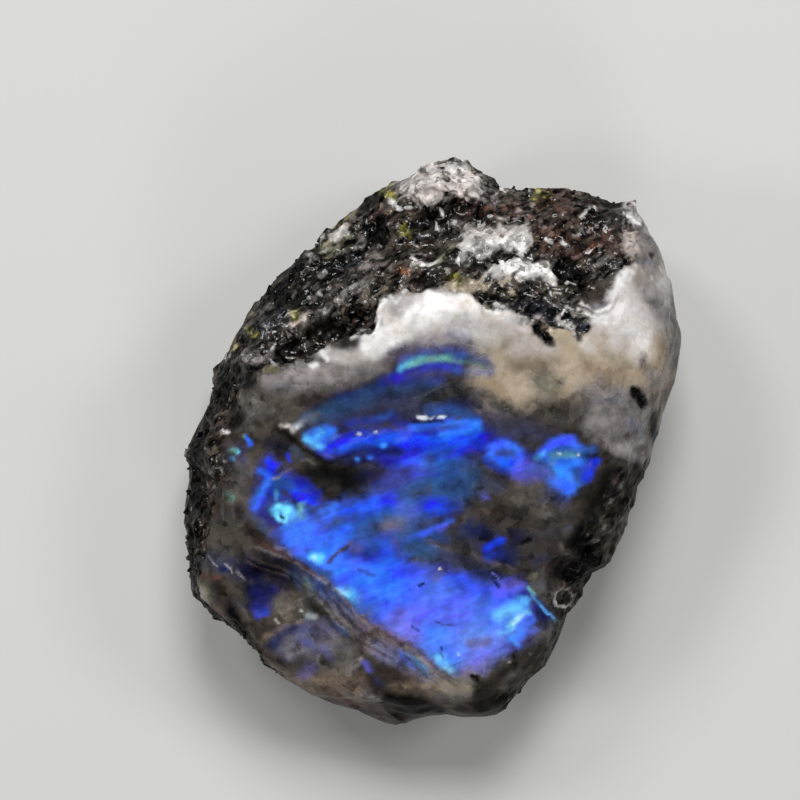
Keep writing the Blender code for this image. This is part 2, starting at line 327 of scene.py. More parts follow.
FLASH_STROKES = [
    # thin rainbow bands below the crest
    ("indigo", 0.6, 5, 8.4, [(345, 399), (375, 389), (398, 381)]),
    ("petrol", 0.6, 8, 11.2, [(360, 398), (385, 390), (410, 388), (425, 386)]),
    ("periwinkle", 0.35, 4, 6, [(402, 359), (420, 352), (440, 348), (462, 353)]),
    ("deep", 0.6, 3.5, 5.5, [(380, 382), (396, 376)]),
    ("royal", 0.6, 4.5, 6, [(394, 376), (408, 371), (424, 367), (440, 365), (458, 366)]),
    ("steel", 0.7, 4, 5.5, [(403, 364), (415, 358), (430, 355), (450, 355), (470, 358), (488, 361)]),
    ("steel", 0.6, 4, 5.6, [(455, 370), (475, 370), (490, 372)]),
    ("deep", 0.4, 5, 7, [(400, 380), (440, 378)]),
    ("sky", 0.75, 2.8, 3.2, [(401, 369), (410, 365), (420, 361)]),
    ("teal", 0.8, 2.4, 3.2, [(408, 366), (420, 362), (432, 359), (447, 358)]),
    ("teal", 0.5, 1.5, 2.6, [(447, 359), (460, 361), (474, 364), (488, 366)]),
    ("cyan", 0.5, 1.5, 2.5, [(402, 368), (412, 364)]),
    # the upper flash
    ("dusk", 0.9, 14, 12.6, [(345, 420), (380, 410), (410, 408)]),
    ("deep", 0.95, 15, 11.2, [(350, 445), (380, 446), (420, 446), (455, 442), (474, 438)]),
    ("petrol", 0.6, 5, 7, [(322, 420), (345, 408), (370, 400)]),
    ("deep", 0.7, 4, 5.6, [(350, 425), (370, 422), (390, 416)]),
    ("steel", 0.4, 2.5, 3.5, [(376, 419), (390, 414)]),
    ("indigo", 0.7, 5, 5.6, [(395, 421), (415, 423)]),
    ("deep", 0.6, 3, 4.2, [(398, 426), (408, 424)]),
    ("dusk", 0.8, 5, 5.6, [(345, 432), (368, 430)]),
    ("royal", 1.0, 7, 7, [(322, 448), (340, 447), (354, 442), (370, 440), (395, 438), (420, 440)]),
    ("night", 0.8, 4, 5.6, [(338, 459), (352, 455), (365, 450), (385, 451), (398, 452)]),
    ("night", 0.7, 4, 5.6, [(345, 462), (365, 462), (385, 460)]),
    ("royal", 0.9, 7, 7, [(392, 466), (404, 462), (418, 462)]),
    ("deep", 0.8, 5, 5.6, [(382, 458), (392, 462)]),
    ("steel", 0.85, 5, 7, [(430, 414), (448, 410), (466, 415), (474, 420)]),
    ("azure", 0.9, 4, 5.6, [(412, 428), (430, 425), (455, 423), (476, 424)]),
    ("royal", 1.0, 8, 7, [(406, 442), (430, 442), (460, 442), (474, 440)]),
    ("azure", 1.0, 3.2, 3.5, [(444, 434), (460, 431), (479, 429)]),
    ("deep", 0.6, 4, 5.6, [(438, 453), (455, 447)]),
    ("royal", 0.9, 3.5, 4.2, [(440, 461), (455, 454), (470, 448)]),
    ("azure", 0.7, 3, 3.5, [(424, 464), (445, 463)]),
    ("royal", 0.8, 5, 5.6, [(414, 476), (440, 474)]),
    ("deep", 0.8, 5, 5.6, [(478, 444), (492, 442)]),
    ("royal", 0.7, 4, 5.6, [(476, 434), (482, 440)]),
    ("night", 0.8, 1.8, 2.1, [(414, 420), (430, 421), (444, 421)]),
    ("azure", 0.9, 6.5, 6.5, [(311, 440), (322, 438), (329, 435)]),
    ("azure", 0.6, 2.5, 3.5, [(318, 431), (329, 430)]),
    ("sky", 0.95, 3, 3.5, [(307, 441), (314, 445), (320, 448)]),
    ("sky", 0.6, 2.5, 3.5, [(315, 440), (322, 434)]),
    ("violet", 0.7, 2.5, 2.8, [(326, 456), (331, 459)]),
    ("violet", 0.4, 2.5, 2.8, [(398, 440), (407, 436)]),
    ("azure", 0.8, 1.8, 2.4, [(358, 458)]),
    ("azure", 0.8, 1.8, 2.4, [(369, 457), (372, 457)]),
    ("azure", 0.8, 1.8, 2.4, [(383, 446), (385, 445)]),
    ("sky", 0.4, 1, 1.2, [(358, 458)]),
    ("sky", 0.4, 1, 1.2, [(370, 457)]),
    ("sky", 0.4, 1, 1.2, [(384, 446)]),
    ("violet", 0.4, 3, 4.2, [(400, 431), (408, 430)]),
    ("umber", 0.5, 4, 5.6, [(403, 476), (412, 478)]),
    # the ring of violet between the flashes
    ("deep", 0.75, 12, 12.6, [(502, 455), (515, 462), (526, 466)]),
    ("blue", 0.5, 10, 11.2, [(500, 456), (514, 460)]),
    ("blue", 0.95, 4, 4.2, [(490, 456), (491, 448), (500, 444), (513, 447), (520, 455), (521, 463)]),
    ("deep", 0.7, 3, 4.2, [(486, 462), (494, 467), (506, 471)]),
    ("slate", 0.6, 3.5, 4.2, [(499, 453), (510, 452)]),
    ("royal", 0.95, 4, 4.2, [(500, 461), (512, 463), (518, 468)]),
    ("violet", 0.75, 7, 7, [(521, 472), (530, 477), (537, 473)]),
    ("periwinkle", 0.6, 4, 5.6, [(520, 463), (532, 462)]),
    # the eye of flash at the right
    ("deep", 0.6, 20, 11.2, [(560, 462), (572, 466)]),
    ("azure", 0.75, 16, 11.2, [(556, 462), (572, 462)]),
    ("azure", 0.6, 9, 8.4, [(562, 482), (568, 484)]),
    ("steel", 0.5, 7, 7, [(556, 456), (580, 456)]),
    ("sky", 0.3, 8, 8.4, [(556, 470), (572, 480)]),
    ("blue", 1.0, 4.5, 4.2, [(544, 453), (551, 445), (562, 440), (573, 443), (579, 448)]),
    ("sky", 0.6, 2.5, 3.5, [(538, 457), (545, 453)]),
    ("steel", 0.9, 5, 4.9, [(555, 454), (567, 452), (583, 452), (591, 450)]),
    ("teal", 0.5, 4, 5.6, [(556, 457), (575, 454)]),
    ("slate", 0.8, 6, 5.6, [(543, 466), (548, 474)]),
    ("periwinkle", 0.5, 4, 5.6, [(549, 478), (546, 470)]),
    ("navy", 0.9, 4, 4.2, [(587, 456), (594, 455)]),
    ("azure", 1.0, 4, 4.2, [(559, 464), (570, 462), (577, 462)]),
    ("azure", 1.0, 5, 4.2, [(562, 470), (564, 480), (567, 489)]),
    ("steel", 0.9, 5, 4.9, [(578, 472), (580, 480)]),
    ("royal", 1.0, 3.5, 3.5, [(592, 461), (597, 460), (591, 470), (586, 478)]),
    ("azure", 0.8, 4, 5.6, [(550, 482), (560, 485), (574, 487)]),
    ("steel", 0.8, 5, 7, [(548, 495), (562, 498)]),
    ("indigo", 0.6, 4, 5.6, [(558, 504), (572, 505)]),
    ("glint", 0.9, 1.4, 1, [(561, 453)]),
    ("glint", 0.9, 1.4, 1, [(579, 455)]),
    # the dark wedge that cuts into the flash
    ("umber", 0.6, 10, 12.6, [(268, 440), (290, 452)]),
    ("soot", 0.8, 7, 8.4, [(272, 446), (288, 450)]),
    ("night", 0.6, 6, 7, [(270, 444), (280, 452)]),
    ("petrol", 0.5, 4, 5.6, [(290, 449), (299, 456)]),
    ("ink", 0.8, 2.8, 2.5, [(280, 430), (290, 438), (303, 449), (318, 458), (332, 463)]),
    ("pitch", 0.95, 12, 11.2, [(312, 474), (340, 477), (362, 476)]),
    ("ink", 0.85, 9, 7, [(330, 471), (352, 479), (342, 489), (326, 494)]),
    ("night", 0.8, 8, 9.8, [(366, 474), (390, 471)]),
    ("indigo", 0.6, 7, 8.4, [(378, 484), (405, 480)]),
    ("night", 0.8, 5, 7, [(340, 497), (366, 492)]),
    ("smoke", 0.35, 2.5, 3.5, [(328, 491), (337, 489)]),
    ("indigo", 0.5, 4, 5.6, [(318, 502), (328, 504)]),
    ("ash", 0.5, 1, 1.4, [(300, 459), (308, 461), (316, 464)]),
    # flash left of the wedge
    ("indigo", 0.6, 18, 15.4, [(276, 490), (290, 505), (285, 522)]),
    ("deep", 0.7, 8, 8.4, [(269, 464), (264, 492), (262, 506)]),
    ("deep", 0.7, 12, 11.2, [(290, 490), (302, 500)]),
    ("steel", 0.6, 9, 9.8, [(278, 505), (300, 514)]),
    ("royal", 0.5, 8, 9.8, [(285, 488), (300, 492)]),
    ("royal", 1.0, 3.8, 3.5, [(269, 461), (273, 466), (269, 473)]),
    ("azure", 0.8, 3, 3.5, [(261, 471), (266, 474)]),
    ("blue", 0.95, 3.5, 4.2, [(268, 478), (266, 489), (260, 499), (255, 509)]),
    ("steel", 0.6, 2, 2.8, [(258, 490), (253, 506)]),
    ("deep", 0.7, 4, 4.2, [(275, 482), (271, 492)]),
    ("steel", 0.9, 2.5, 2.8, [(277, 488), (277, 500)]),
    ("sky", 0.5, 1.5, 2.1, [(276, 492), (276, 499)]),
    ("steel", 0.85, 5.5, 5.6, [(280, 484), (292, 488)]),
    ("royal", 1.0, 5, 4.9, [(296, 494), (306, 497), (313, 502)]),
    ("deep", 0.8, 4, 4.2, [(298, 482), (310, 488), (316, 496)]),
    ("soot", 0.9, 2.3, 2.8, [(284, 493), (290, 498), (298, 505)]),
    ("indigo", 0.7, 4, 5.6, [(262, 515), (272, 522)]),
    ("sky", 1.0, 5.5, 4.2, [(277, 511), (287, 509), (293, 514)]),
    ("cyan", 1.0, 3.2, 2.8, [(280, 508), (289, 511), (285, 519)]),
    ("cyan", 0.9, 2.5, 2.8, [(276, 514), (279, 519)]),
    ("teal", 0.9, 3, 3.5, [(303, 505), (301, 514), (305, 520)]),
    ("soot", 0.7, 2.5, 2.8, [(311, 511), (316, 516)]),
    ("petrol", 0.7, 2, 2.8, [(308, 508), (318, 509)]),
    ("steel", 0.8, 4, 4.2, [(288, 527), (300, 524)]),
    ("teal", 0.5, 3, 4.2, [(290, 523), (298, 522)]),
    ("royal", 0.8, 1.8, 2.1, [(286, 456), (288, 461)]),
    ("azure", 1.0, 2.3, 2.1, [(245, 438), (249, 444)]),
    ("teal", 0.7, 1.3, 1.7, [(243, 437)]),
    ("indigo", 0.4, 4, 5.6, [(240, 448), (243, 458)]),
    ("teal", 0.9, 2.2, 2.5, [(230, 451), (234, 451)]),
    ("cyan", 0.9, 1.8, 2, [(238, 452)]),
    ("sky", 0.8, 1.8, 2.1, [(231, 457), (234, 460)]),
    ("teal", 0.45, 3, 3.5, [(225, 495), (233, 500)]),
    ("petrol", 0.6, 6, 7, [(250, 520), (262, 530)]),
    # dull blue between the two flashes
    ("steel", 1.0, 22, 16.8, [(350, 525), (400, 510), (450, 480)]),
    ("steel", 0.9, 14, 14, [(380, 545), (430, 540)]),
    ("petrol", 0.8, 9, 11.2, [(440, 495), (470, 478), (485, 490)]),
    ("night", 0.6, 4, 5.6, [(442, 488), (458, 480)]),
    ("petrol", 0.6, 5, 7, [(405, 490), (430, 485)]),
    ("smoke", 0.5, 4, 5.6, [(415, 494), (428, 490)]),
    ("blue", 0.9, 5.5, 5.6, [(324, 511), (334, 508), (329, 518)]),
    ("deep", 0.7, 8, 9.8, [(425, 508), (450, 506)]),
    ("royal", 0.7, 6, 7, [(430, 508), (442, 506)]),
    ("royal", 0.8, 8, 8.4, [(345, 512), (370, 505), (392, 500)]),
    ("azure", 0.6, 5, 7, [(360, 508), (378, 503)]),
    ("periwinkle", 0.4, 7, 9.8, [(402, 508), (412, 514)]),
    ("petrol", 0.6, 3, 4.2, [(350, 518), (358, 516)]),
    ("blue", 0.8, 2.5, 3.5, [(422, 533), (436, 528), (452, 520)]),
    ("violet", 0.5, 2.5, 2.8, [(440, 529), (448, 524)]),
    ("blue", 0.5, 2.5, 3.5, [(409, 539), (422, 534)]),
    ("slate", 0.8, 6, 7, [(372, 526), (384, 533)]),
    ("ash", 0.6, 5, 7, [(386, 527), (402, 522)]),
    ("mauve", 0.4, 5, 7, [(388, 526), (400, 530)]),
    ("ash", 0.6, 2, 2.8, [(386, 528), (391, 527)]),
    ("navy", 0.9, 10, 11.2, [(468, 528), (486, 538)]),
    ("night", 0.8, 4, 5.6, [(482, 528), (489, 533)]),
    ("petrol", 0.7, 4, 5.6, [(400, 546), (425, 543)]),
    ("smoke", 0.9, 18, 16.8, [(495, 500), (530, 495), (548, 512)]),
    ("umber", 0.6, 8, 9.8, [(503, 512), (525, 524)]),
    ("umber", 0.5, 6, 8.4, [(480, 505), (492, 520)]),
    ("ash", 0.35, 7, 8.4, [(520, 492), (535, 486)]),
    ("ash", 0.3, 4, 5.6, [(543, 505), (548, 512)]),
    ("smoke", 0.8, 2.5, 3.5, [(469, 511), (463, 522)]),
    ("dusk", 0.7, 5, 7, [(482, 482), (500, 486)]),
    ("slate", 0.6, 3, 4.2, [(495, 484), (498, 488)]),
    ("violet", 0.45, 2.5, 3.5, [(482, 496), (487, 497)]),
    ("ink", 0.6, 1.6, 1.5, [(475, 490), (482, 488)]),
    ("night", 0.6, 4, 5.6, [(512, 535), (526, 534)]),
    ("violet", 0.8, 1.6, 2, [(567, 527), (573, 527)]),
    ("night", 0.5, 4, 5.6, [(561, 536), (566, 529)]),
    # the lower flash, which is the widest
    ("blue", 1.0, 24, 16.8, [(305, 542), (345, 567), (400, 590)]),
    ("blue", 1.0, 30, 16.8, [(400, 597), (450, 608), (500, 615)]),
    ("blue", 1.0, 22, 16.8, [(440, 640), (480, 648)]),
    ("royal", 0.4, 10, 12.6, [(385, 545), (392, 560)]),
    ("deep", 0.6, 8, 9.8, [(366, 518), (352, 522)]),
    ("steel", 0.7, 9, 11.2, [(345, 532), (362, 528)]),
    ("periwinkle", 0.5, 16, 14, [(470, 645), (490, 650)]),
    ("sky", 0.3, 20, 19.6, [(440, 650), (480, 650)]),
    ("lilac", 0.2, 20, 19.6, [(450, 640), (490, 650)]),
    ("azure", 0.8, 7, 8.4, [(346, 530), (336, 540), (322, 552)]),
    ("sky", 0.9, 4, 4.2, [(313, 556), (321, 557)]),
    ("white_blue", 0.5, 2, 2.8, [(315, 556)]),
    ("smoke", 0.8, 4, 5.6, [(394, 543), (399, 556)]),
    ("indigo", 0.75, 7, 8.4, [(352, 552), (378, 556)]),
    ("mauve", 0.5, 4, 5.6, [(350, 546), (358, 548)]),
    ("azure", 0.7, 9, 11.2, [(340, 575), (385, 582)]),
    ("royal", 0.6, 14, 14, [(395, 565), (410, 590)]),
    ("sky", 0.85, 5.5, 5.6, [(337, 593), (352, 597)]),
    ("white_blue", 0.5, 2.5, 3.5, [(338, 592), (346, 594)]),
    ("steel", 0.45, 6, 8.4, [(358, 603), (380, 607)]),
    ("azure", 0.6, 4, 5.6, [(396, 600), (404, 603)]),
    ("azure", 0.6, 10, 11.2, [(372, 590), (395, 585)]),
    ("periwinkle", 0.8, 11, 14, [(398, 620), (415, 632)]),
    ("lilac", 0.55, 8, 11.2, [(396, 625), (412, 636)]),
    ("mauve", 0.3, 6, 8.4, [(400, 614), (412, 612)]),
    ("violet", 0.45, 12, 16.8, [(430, 614), (465, 620)]),
    ("ash", 0.45, 3.5, 4.9, [(436, 580), (442, 575)]),
    ("dusk", 0.8, 9, 11.2, [(445, 558), (470, 562)]),
    ("petrol", 0.7, 7, 8.4, [(408, 550), (430, 553)]),
    ("royal", 0.9, 8, 9.8, [(452, 578), (472, 590), (498, 598)]),
    ("deep", 0.6, 4, 5.6, [(470, 595), (460, 588)]),
    ("deep", 0.7, 4, 4.9, [(486, 593), (482, 602)]),
    ("navy", 0.9, 7, 7, [(475, 571), (492, 576)]),
    ("night", 0.6, 3, 4.2, [(486, 578), (494, 574)]),
    ("smoke", 0.9, 3, 4.2, [(428, 541), (455, 550), (480, 558), (505, 567), (532, 577)]),
    ("slate", 0.6, 3, 4.2, [(440, 560), (470, 566), (490, 566)]),
    ("deep", 0.9, 5, 5.6, [(488, 556), (500, 553)]),
    ("royal", 1.0, 2.8, 2.8, [(486, 549), (494, 543), (501, 539)]),
    ("navy", 0.9, 7, 7, [(504, 552), (513, 560)]),
    ("night", 0.7, 5, 5.6, [(512, 547), (516, 537)]),
    ("violet", 0.7, 7, 7, [(500, 592), (520, 585)]),
    ("mauve", 0.5, 3, 4.2, [(510, 586), (520, 580)]),
    ("lilac", 0.5, 3, 4.2, [(517, 582)]),
    ("deep", 0.9, 2.5, 2.8, [(512, 598)]),
    ("deep", 0.9, 3, 2.8, [(521, 597), (526, 594)]),
    ("azure", 1.0, 10, 8.4, [(510, 620), (521, 610), (526, 620)]),
    ("sky", 1.0, 7, 5.6, [(500, 618), (514, 611), (524, 605)]),
    ("cyan", 1.0, 2.8, 2.8, [(511, 627), (519, 620), (528, 614)]),
    ("white_blue", 0.8, 1.3, 2.1, [(513, 625), (524, 616)]),
    ("sky", 0.8, 3, 4.2, [(500, 634), (509, 631)]),
    ("blue", 1.0, 5, 5.6, [(528, 622), (524, 632)]),
    ("azure", 1.0, 4.5, 4.2, [(511, 640), (522, 636)]),
    ("azure", 1.0, 3, 3, [(513, 643), (519, 646)]),
    ("sky", 0.5, 1.5, 2, [(514, 643), (518, 645)]),
    ("azure", 0.7, 8, 9.8, [(428, 632), (445, 636)]),
    ("azure", 0.9, 11, 9.8, [(440, 646), (453, 655)]),
    ("sky", 0.9, 4.5, 4.9, [(437, 658), (446, 664), (452, 670)]),
    ("white_blue", 0.3, 2.5, 3.5, [(446, 668), (451, 671)]),
    ("periwinkle", 0.8, 9, 11.2, [(478, 660), (500, 645)]),
    ("ash", 0.7, 4, 4.9, [(470, 644), (486, 641)]),
    ("lilac", 0.6, 8, 8.4, [(466, 668), (486, 662)]),
    ("steel", 0.6, 4, 5.6, [(505, 654)]),
    ("night", 0.9, 4, 4.9, [(533, 584), (546, 586)]),
    ("indigo", 0.8, 4, 4.9, [(534, 607), (548, 617)]),
    ("lilac", 0.22, 26, 18, [(430, 600), (480, 615), (520, 635)]),
    ("lilac", 0.25, 14, 12, [(440, 648), (480, 655)]),
    ("periwinkle", 0.25, 12, 10, [(395, 478), (420, 470)]),
]
MARGIN_STROKES = [
    # the lip below the flash, in fine ridges
    # a painted shadow band along the lip's upper edge
    ("umber", 0.95, 8, 5, [(238, 510), (262, 543), (294, 562), (325, 580)]),
    ("dusk", 0.9, 8, 5, [(296, 570), (325, 590), (350, 612)]),
    ("umber", 0.6, 4, 4, [(330, 592), (350, 612), (366, 628)]),
    ("mauve", 0.75, 6, 5, [(330, 604), (350, 620), (376, 636)]),
    ("lilac", 0.5, 7, 5, [(368, 630), (400, 648)]),
    ("mauve", 1.0, 8, 5, [(365, 628), (400, 645), (430, 668)]),
    ("tan", 0.8, 9, 6, [(372, 640), (400, 658), (440, 682)]),
    ("pearl", 0.3, 9, 8, [(378, 648), (408, 662), (436, 676)]),
    ("periwinkle", 0.14, 8, 8, [(380, 650), (420, 668)]),
    ("rust", 0.55, 1.8, 2.4, [(255, 541), (300, 563), (326, 580), (345, 600), (366, 623), (403, 643),
         (436, 666), (452, 680)]),
    ("slate", 0.5, 2, 2.5, [(262, 552), (300, 574), (330, 598), (360, 630)]),
    ("pearl", 0.4, 1.4, 2, [(330, 596), (348, 612), (375, 630)]),
    ("pearl", 0.3, 1.4, 2, [(305, 588), (322, 604), (345, 622)]),
    ("ink", 0.4, 1.4, 2, [(262, 556), (285, 566), (305, 580)]),
    ("ink", 0.4, 1.4, 2, [(355, 638), (380, 652), (402, 668)]),
    ("ash", 0.9, 14, 9, [(470, 685), (435, 690)]),
    ("tan", 0.8, 12, 9, [(430, 690), (402, 690)]),
    ("azure", 0.5, 3, 3, [(400, 653), (412, 667)]),
    ("steel", 0.5, 3, 3, [(408, 652), (424, 668)]),
    ("teal", 0.3, 2, 2.5, [(416, 658), (428, 669)]),
    ("azure", 0.6, 1, 1.2, [(398, 650), (406, 661), (415, 670)]),
    ("umber", 0.6, 0.9, 1.1, [(401, 648), (412, 661), (424, 675)]),
    ("sky", 0.5, 1, 1.2, [(406, 652), (417, 665), (424, 674)]),
    ("umber", 0.5, 0.9, 1.1, [(408, 648), (420, 661), (437, 678)]),
    ("sky", 0.4, 0.9, 1.1, [(415, 658), (425, 669), (431, 676)]),
    ("pearl", 0.7, 2, 2, [(404, 646), (422, 660), (438, 676)]),
    ("steel", 0.6, 2.5, 2, [(300, 556), (318, 570), (336, 582)]),
    # the broken facet below the lip
    ("soot", 0.9, 16, 10, [(240, 570), (262, 600)]),
    ("night", 1.0, 15, 9, [(250, 568), (275, 580), (262, 592)]),
    ("ink", 0.7, 10, 8, [(258, 564), (288, 572)]),
    ("umber", 0.5, 5, 5, [(268, 578), (282, 586)]),
    ("indigo", 0.4, 5, 6, [(256, 594), (268, 601), (274, 594)]),
    ("night", 0.7, 3, 3, [(249, 606), (254, 602)]),
    ("deep", 0.6, 4, 5, [(256, 608), (266, 611)]),
    ("royal", 0.45, 3, 3, [(259, 616), (266, 614)]),
    ("violet", 0.3, 2.5, 2.5, [(255, 612), (260, 615)]),
    ("petrol", 0.8, 5, 4, [(292, 576), (301, 586)]),
    ("teal", 0.4, 2.5, 4, [(306, 580), (312, 594)]),
    ("ash", 0.5, 5, 4, [(306, 588), (316, 602)]),
    ("moss_black", 0.7, 8, 6, [(312, 602), (332, 620), (345, 632)]),
    ("ochre", 0.6, 7, 7, [(283, 618), (297, 605)]),
    ("tan", 0.5, 5, 5, [(285, 612), (298, 601)]),
    ("smoke", 0.6, 6, 6, [(268, 628), (280, 620)]),
    ("chalk", 0.9, 1.8, 1.4, [(300, 610)]),
    ("milk", 0.7, 1, 1, [(277, 620), (281, 624)]),
    ("tan", 0.85, 3.2, 3, [(266, 639), (282, 629), (298, 622)]),
    ("slate", 1.0, 16, 9, [(288, 644), (322, 640)]),
    ("periwinkle", 0.14, 16, 10, [(292, 642), (325, 638)]),
    ("ash", 0.5, 14, 12, [(290, 646), (325, 642)]),
    ("white_blue", 0.32, 2.8, 3.6, [(306, 615), (312, 616)]),
    ("pearl", 0.6, 2.5, 2.5, [(306, 614), (314, 617)]),
    ("mauve", 0.4, 8, 7, [(318, 630), (326, 640)]),
    ("ash", 0.6, 9, 8, [(338, 642), (346, 654)]),
    ("navy", 0.75, 4, 4, [(271, 648), (281, 637), (292, 630)]),
    ("deep", 0.38, 4, 6, [(298, 640), (307, 645), (316, 649)]),
    ("royal", 0.35, 2, 3.5, [(304, 644), (311, 645)]),
    ("periwinkle", 0.45, 3, 5, [(322, 648), (331, 660)]),
    ("steel", 0.4, 3, 3, [(337, 624), (346, 634)]),
    ("smoke", 1.0, 10, 8, [(322, 668), (345, 672)]),
    ("ash", 0.5, 9, 8, [(322, 666), (345, 672)]),
    ("umber", 0.8, 7, 6, [(262, 655), (285, 668)]),
    ("tan", 0.5, 5, 5, [(268, 665), (292, 676)]),
    ("pearl", 0.55, 3, 2.5, [(289, 656), (300, 652)]),
    ("tan", 0.95, 11, 8, [(305, 684), (335, 686), (358, 682)]),
    ("tan", 0.6, 8, 8, [(320, 688), (345, 690), (362, 688)]),
    ("rust", 0.3, 8, 8, [(335, 694), (362, 694)]),
    ("periwinkle", 0.32, 5, 7, [(304, 676), (311, 667)]),
    ("mauve", 0.4, 4, 4, [(306, 672), (312, 666)]),
    ("pearl", 0.7, 2.3, 2, [(355, 668), (361, 659)]),
    ("ash", 0.5, 3.5, 3, [(352, 672), (356, 664)]),
    ("umber", 0.9, 9, 7, [(366, 682), (398, 672)]),
    ("soot", 0.6, 5, 5, [(372, 672), (384, 690)]),
    ("periwinkle", 0.65, 2, 3, [(364, 663), (369, 670)]),
    ("dusk", 0.7, 2.5, 2.5, [(374, 678), (380, 683)]),
    ("ink", 1.0, 12, 7, [(392, 703), (425, 704)]),
    ("ink", 0.8, 8, 5, [(410, 712), (440, 702)]),
    ("ash", 0.8, 3, 3, [(362, 693), (378, 699)]),
    ("pearl", 0.6, 1.4, 1.4, [(370, 697), (374, 695)]),
    ("umber", 1.0, 6, 5, [(318, 698), (345, 706), (385, 714), (400, 719)]),
    ("smoke", 0.5, 8, 7, [(300, 690), (340, 690)]),
    ("rust", 0.7, 3, 3, [(330, 698), (350, 702), (385, 712)]),
    ("umber", 0.9, 9, 6, [(450, 705), (480, 708)]),
    ("ash", 0.4, 1.2, 1.2, [(238, 603), (250, 620)]),
    ("ash", 0.4, 1.2, 1.2, [(250, 632), (262, 646)]),
    # the dark bevel at the lower right
    ("moss_black", 1.0, 14, 9, [(545, 650), (510, 672), (480, 692)]),
    ("pitch", 1.0, 14, 9, [(562, 640), (522, 692), (490, 708)]),
    ("pitch", 1.0, 13, 8, [(582, 600), (562, 640), (545, 665)]),
    ("ash", 0.6, 4, 4, [(548, 630), (540, 650)]),
    ("slate", 0.9, 6, 4, [(541, 612), (549, 624)]),
    ("indigo", 0.5, 5, 4, [(538, 606), (545, 616)]),
    ("ash", 0.4, 5, 5, [(537, 583), (546, 592), (552, 598)]),
    ("umber", 0.7, 6, 5, [(520, 575), (535, 570)]),
    ("teal", 0.8, 1.4, 1.2, [(529, 587), (535, 593)]),
    ("steel", 0.9, 1.4, 1.2, [(536, 596), (541, 604), (548, 611), (554, 617)]),
    ("sky", 0.7, 1, 1.2, [(542, 606), (550, 613)]),
    ("sky", 0.7, 1.2, 1.2, [(556, 620)]),
    ("ink", 1.0, 13, 6, [(562, 570), (590, 578)]),
    ("ink", 0.9, 7, 4, [(557, 602), (562, 614)]),
    ("soot", 0.9, 24, 12, [(585, 520), (560, 545)]),
    ("moss_black", 0.9, 22, 12, [(600, 500), (620, 490), (592, 540)]),
    ("ash", 0.4, 5, 5, [(618, 500)]),
    ("ash", 0.4, 5, 5, [(605, 530)]),
    ("smoke", 0.8, 11, 9, [(580, 512), (570, 545)]),
    ("umber", 0.6, 8, 6, [(545, 540), (552, 560)]),
    ("ash", 0.5, 2, 2, [(560, 545), (566, 556)]),
    ("chalk", 0.7, 0.9, 0.9, [(604, 496)]),
    ("milk", 0.6, 1, 1, [(622, 486)]),
    ("milk", 0.5, 1.2, 1, [(588, 536)]),
    ("ash", 0.5, 3, 2.5, [(598, 512), (604, 520)]),
    ("ash", 0.45, 3, 2.5, [(612, 478), (620, 486)]),
    ("ash", 0.4, 2.5, 2, [(578, 548), (584, 556)]),
    ("ash", 0.4, 2.5, 2, [(560, 620), (566, 628)]),
    ("ash", 0.45, 2.5, 2, [(540, 646), (550, 640)]),
    ("ash", 0.35, 2.5, 2, [(520, 676), (530, 668)]),
    ("olive_grey", 0.5, 1.6, 1.6, [(530, 578), (536, 575)]),
    ("ink", 0.8, 8, 6, [(640, 470), (625, 510)]),
    ("ink", 0.9, 8, 5, [(600, 560), (592, 590)]),
    ("ash", 0.4, 3, 3, [(552, 636), (548, 648)]),
    ("pearl", 0.95, 1.9, 1.3, [(555, 599), (558, 592), (564, 589), (570, 591), (573, 598), (571, 604),
         (565, 607), (559, 605), (555, 599)]),
    ("milk", 0.6, 1.2, 1.2, [(565, 607), (559, 605), (555, 599), (558, 592)]),
    ("umber", 0.9, 4, 2, [(563, 598), (566, 598)]),
    ("ash", 0.5, 1.5, 1.2, [(565, 595)]),
    # the left margin
    ("umber", 0.8, 14, 10, [(225, 420), (220, 470), (215, 520)]),
    ("ink", 1.0, 10, 6, [(205, 400), (195, 440), (192, 500), (192, 560), (198, 610)]),
    ("ink", 0.7, 10, 6, [(225, 400), (235, 420)]),
    ("smoke", 0.9, 16, 10, [(222, 530), (235, 545)]),
    ("slate", 0.8, 10, 7, [(210, 562), (228, 570)]),
    ("rust", 0.8, 2.5, 2, [(200, 578), (222, 580)]),
    ("olive_grey", 0.9, 6, 5, [(200, 588), (206, 597)]),
    ("pearl", 0.7, 3.5, 3, [(199, 590), (203, 597)]),
    ("chalk", 0.7, 1.8, 1.4, [(199, 594)]),
    ("umber", 0.9, 9, 7, [(218, 590), (230, 608)]),
    ("rust", 0.6, 5, 4, [(214, 606), (220, 614)]),
    ("ink", 1.0, 5, 4, [(203, 606), (225, 622)]),
    ("ink", 1.0, 6, 5, [(230, 612), (238, 628), (252, 650)]),
    ("ink", 0.8, 4, 4, [(252, 655), (272, 675)]),
    ("navy", 0.8, 3, 2, [(222, 569), (226, 571)]),
    ("pearl", 0.8, 0.8, 0.9, [(226, 565), (231, 569), (232, 575)]),
    ("pearl", 0.8, 0.7, 0.8, [(209, 558), (219, 567)]),
    ("pearl", 0.5, 0.7, 0.8, [(237, 572), (246, 582)]),
    # flecks and specks on the face, and painted highlights where it reflects the light: the glint strokes and
    # the white wedge left of the flash
    ("smoke", 0.85, 1.8, 1.4, [(328, 562), (338, 552), (350, 545)]),
    ("mauve", 0.7, 1.2, 1, [(349, 544), (352, 542)]),
    ("umber", 0.6, 1.5, 1.4, [(360, 570), (368, 572), (376, 576)]),
    ("ink", 0.9, 1.6, 1.1, [(420, 586), (423, 585)]),
    ("ink", 0.9, 1.3, 1, [(441, 650)]),
    ("ink", 1.0, 3, 1.2, [(473, 675), (476, 678), (480, 678)]),
    ("ink", 1.0, 2, 1.2, [(523, 543), (531, 538)]),
    ("ink", 0.8, 1.8, 1, [(496, 583), (500, 587)]),
    ("lilac", 0.7, 0.8, 0.8, [(492, 572), (500, 580), (506, 588)]),
    ("umber", 0.7, 0.8, 0.8, [(436, 622), (446, 626), (458, 627)]),
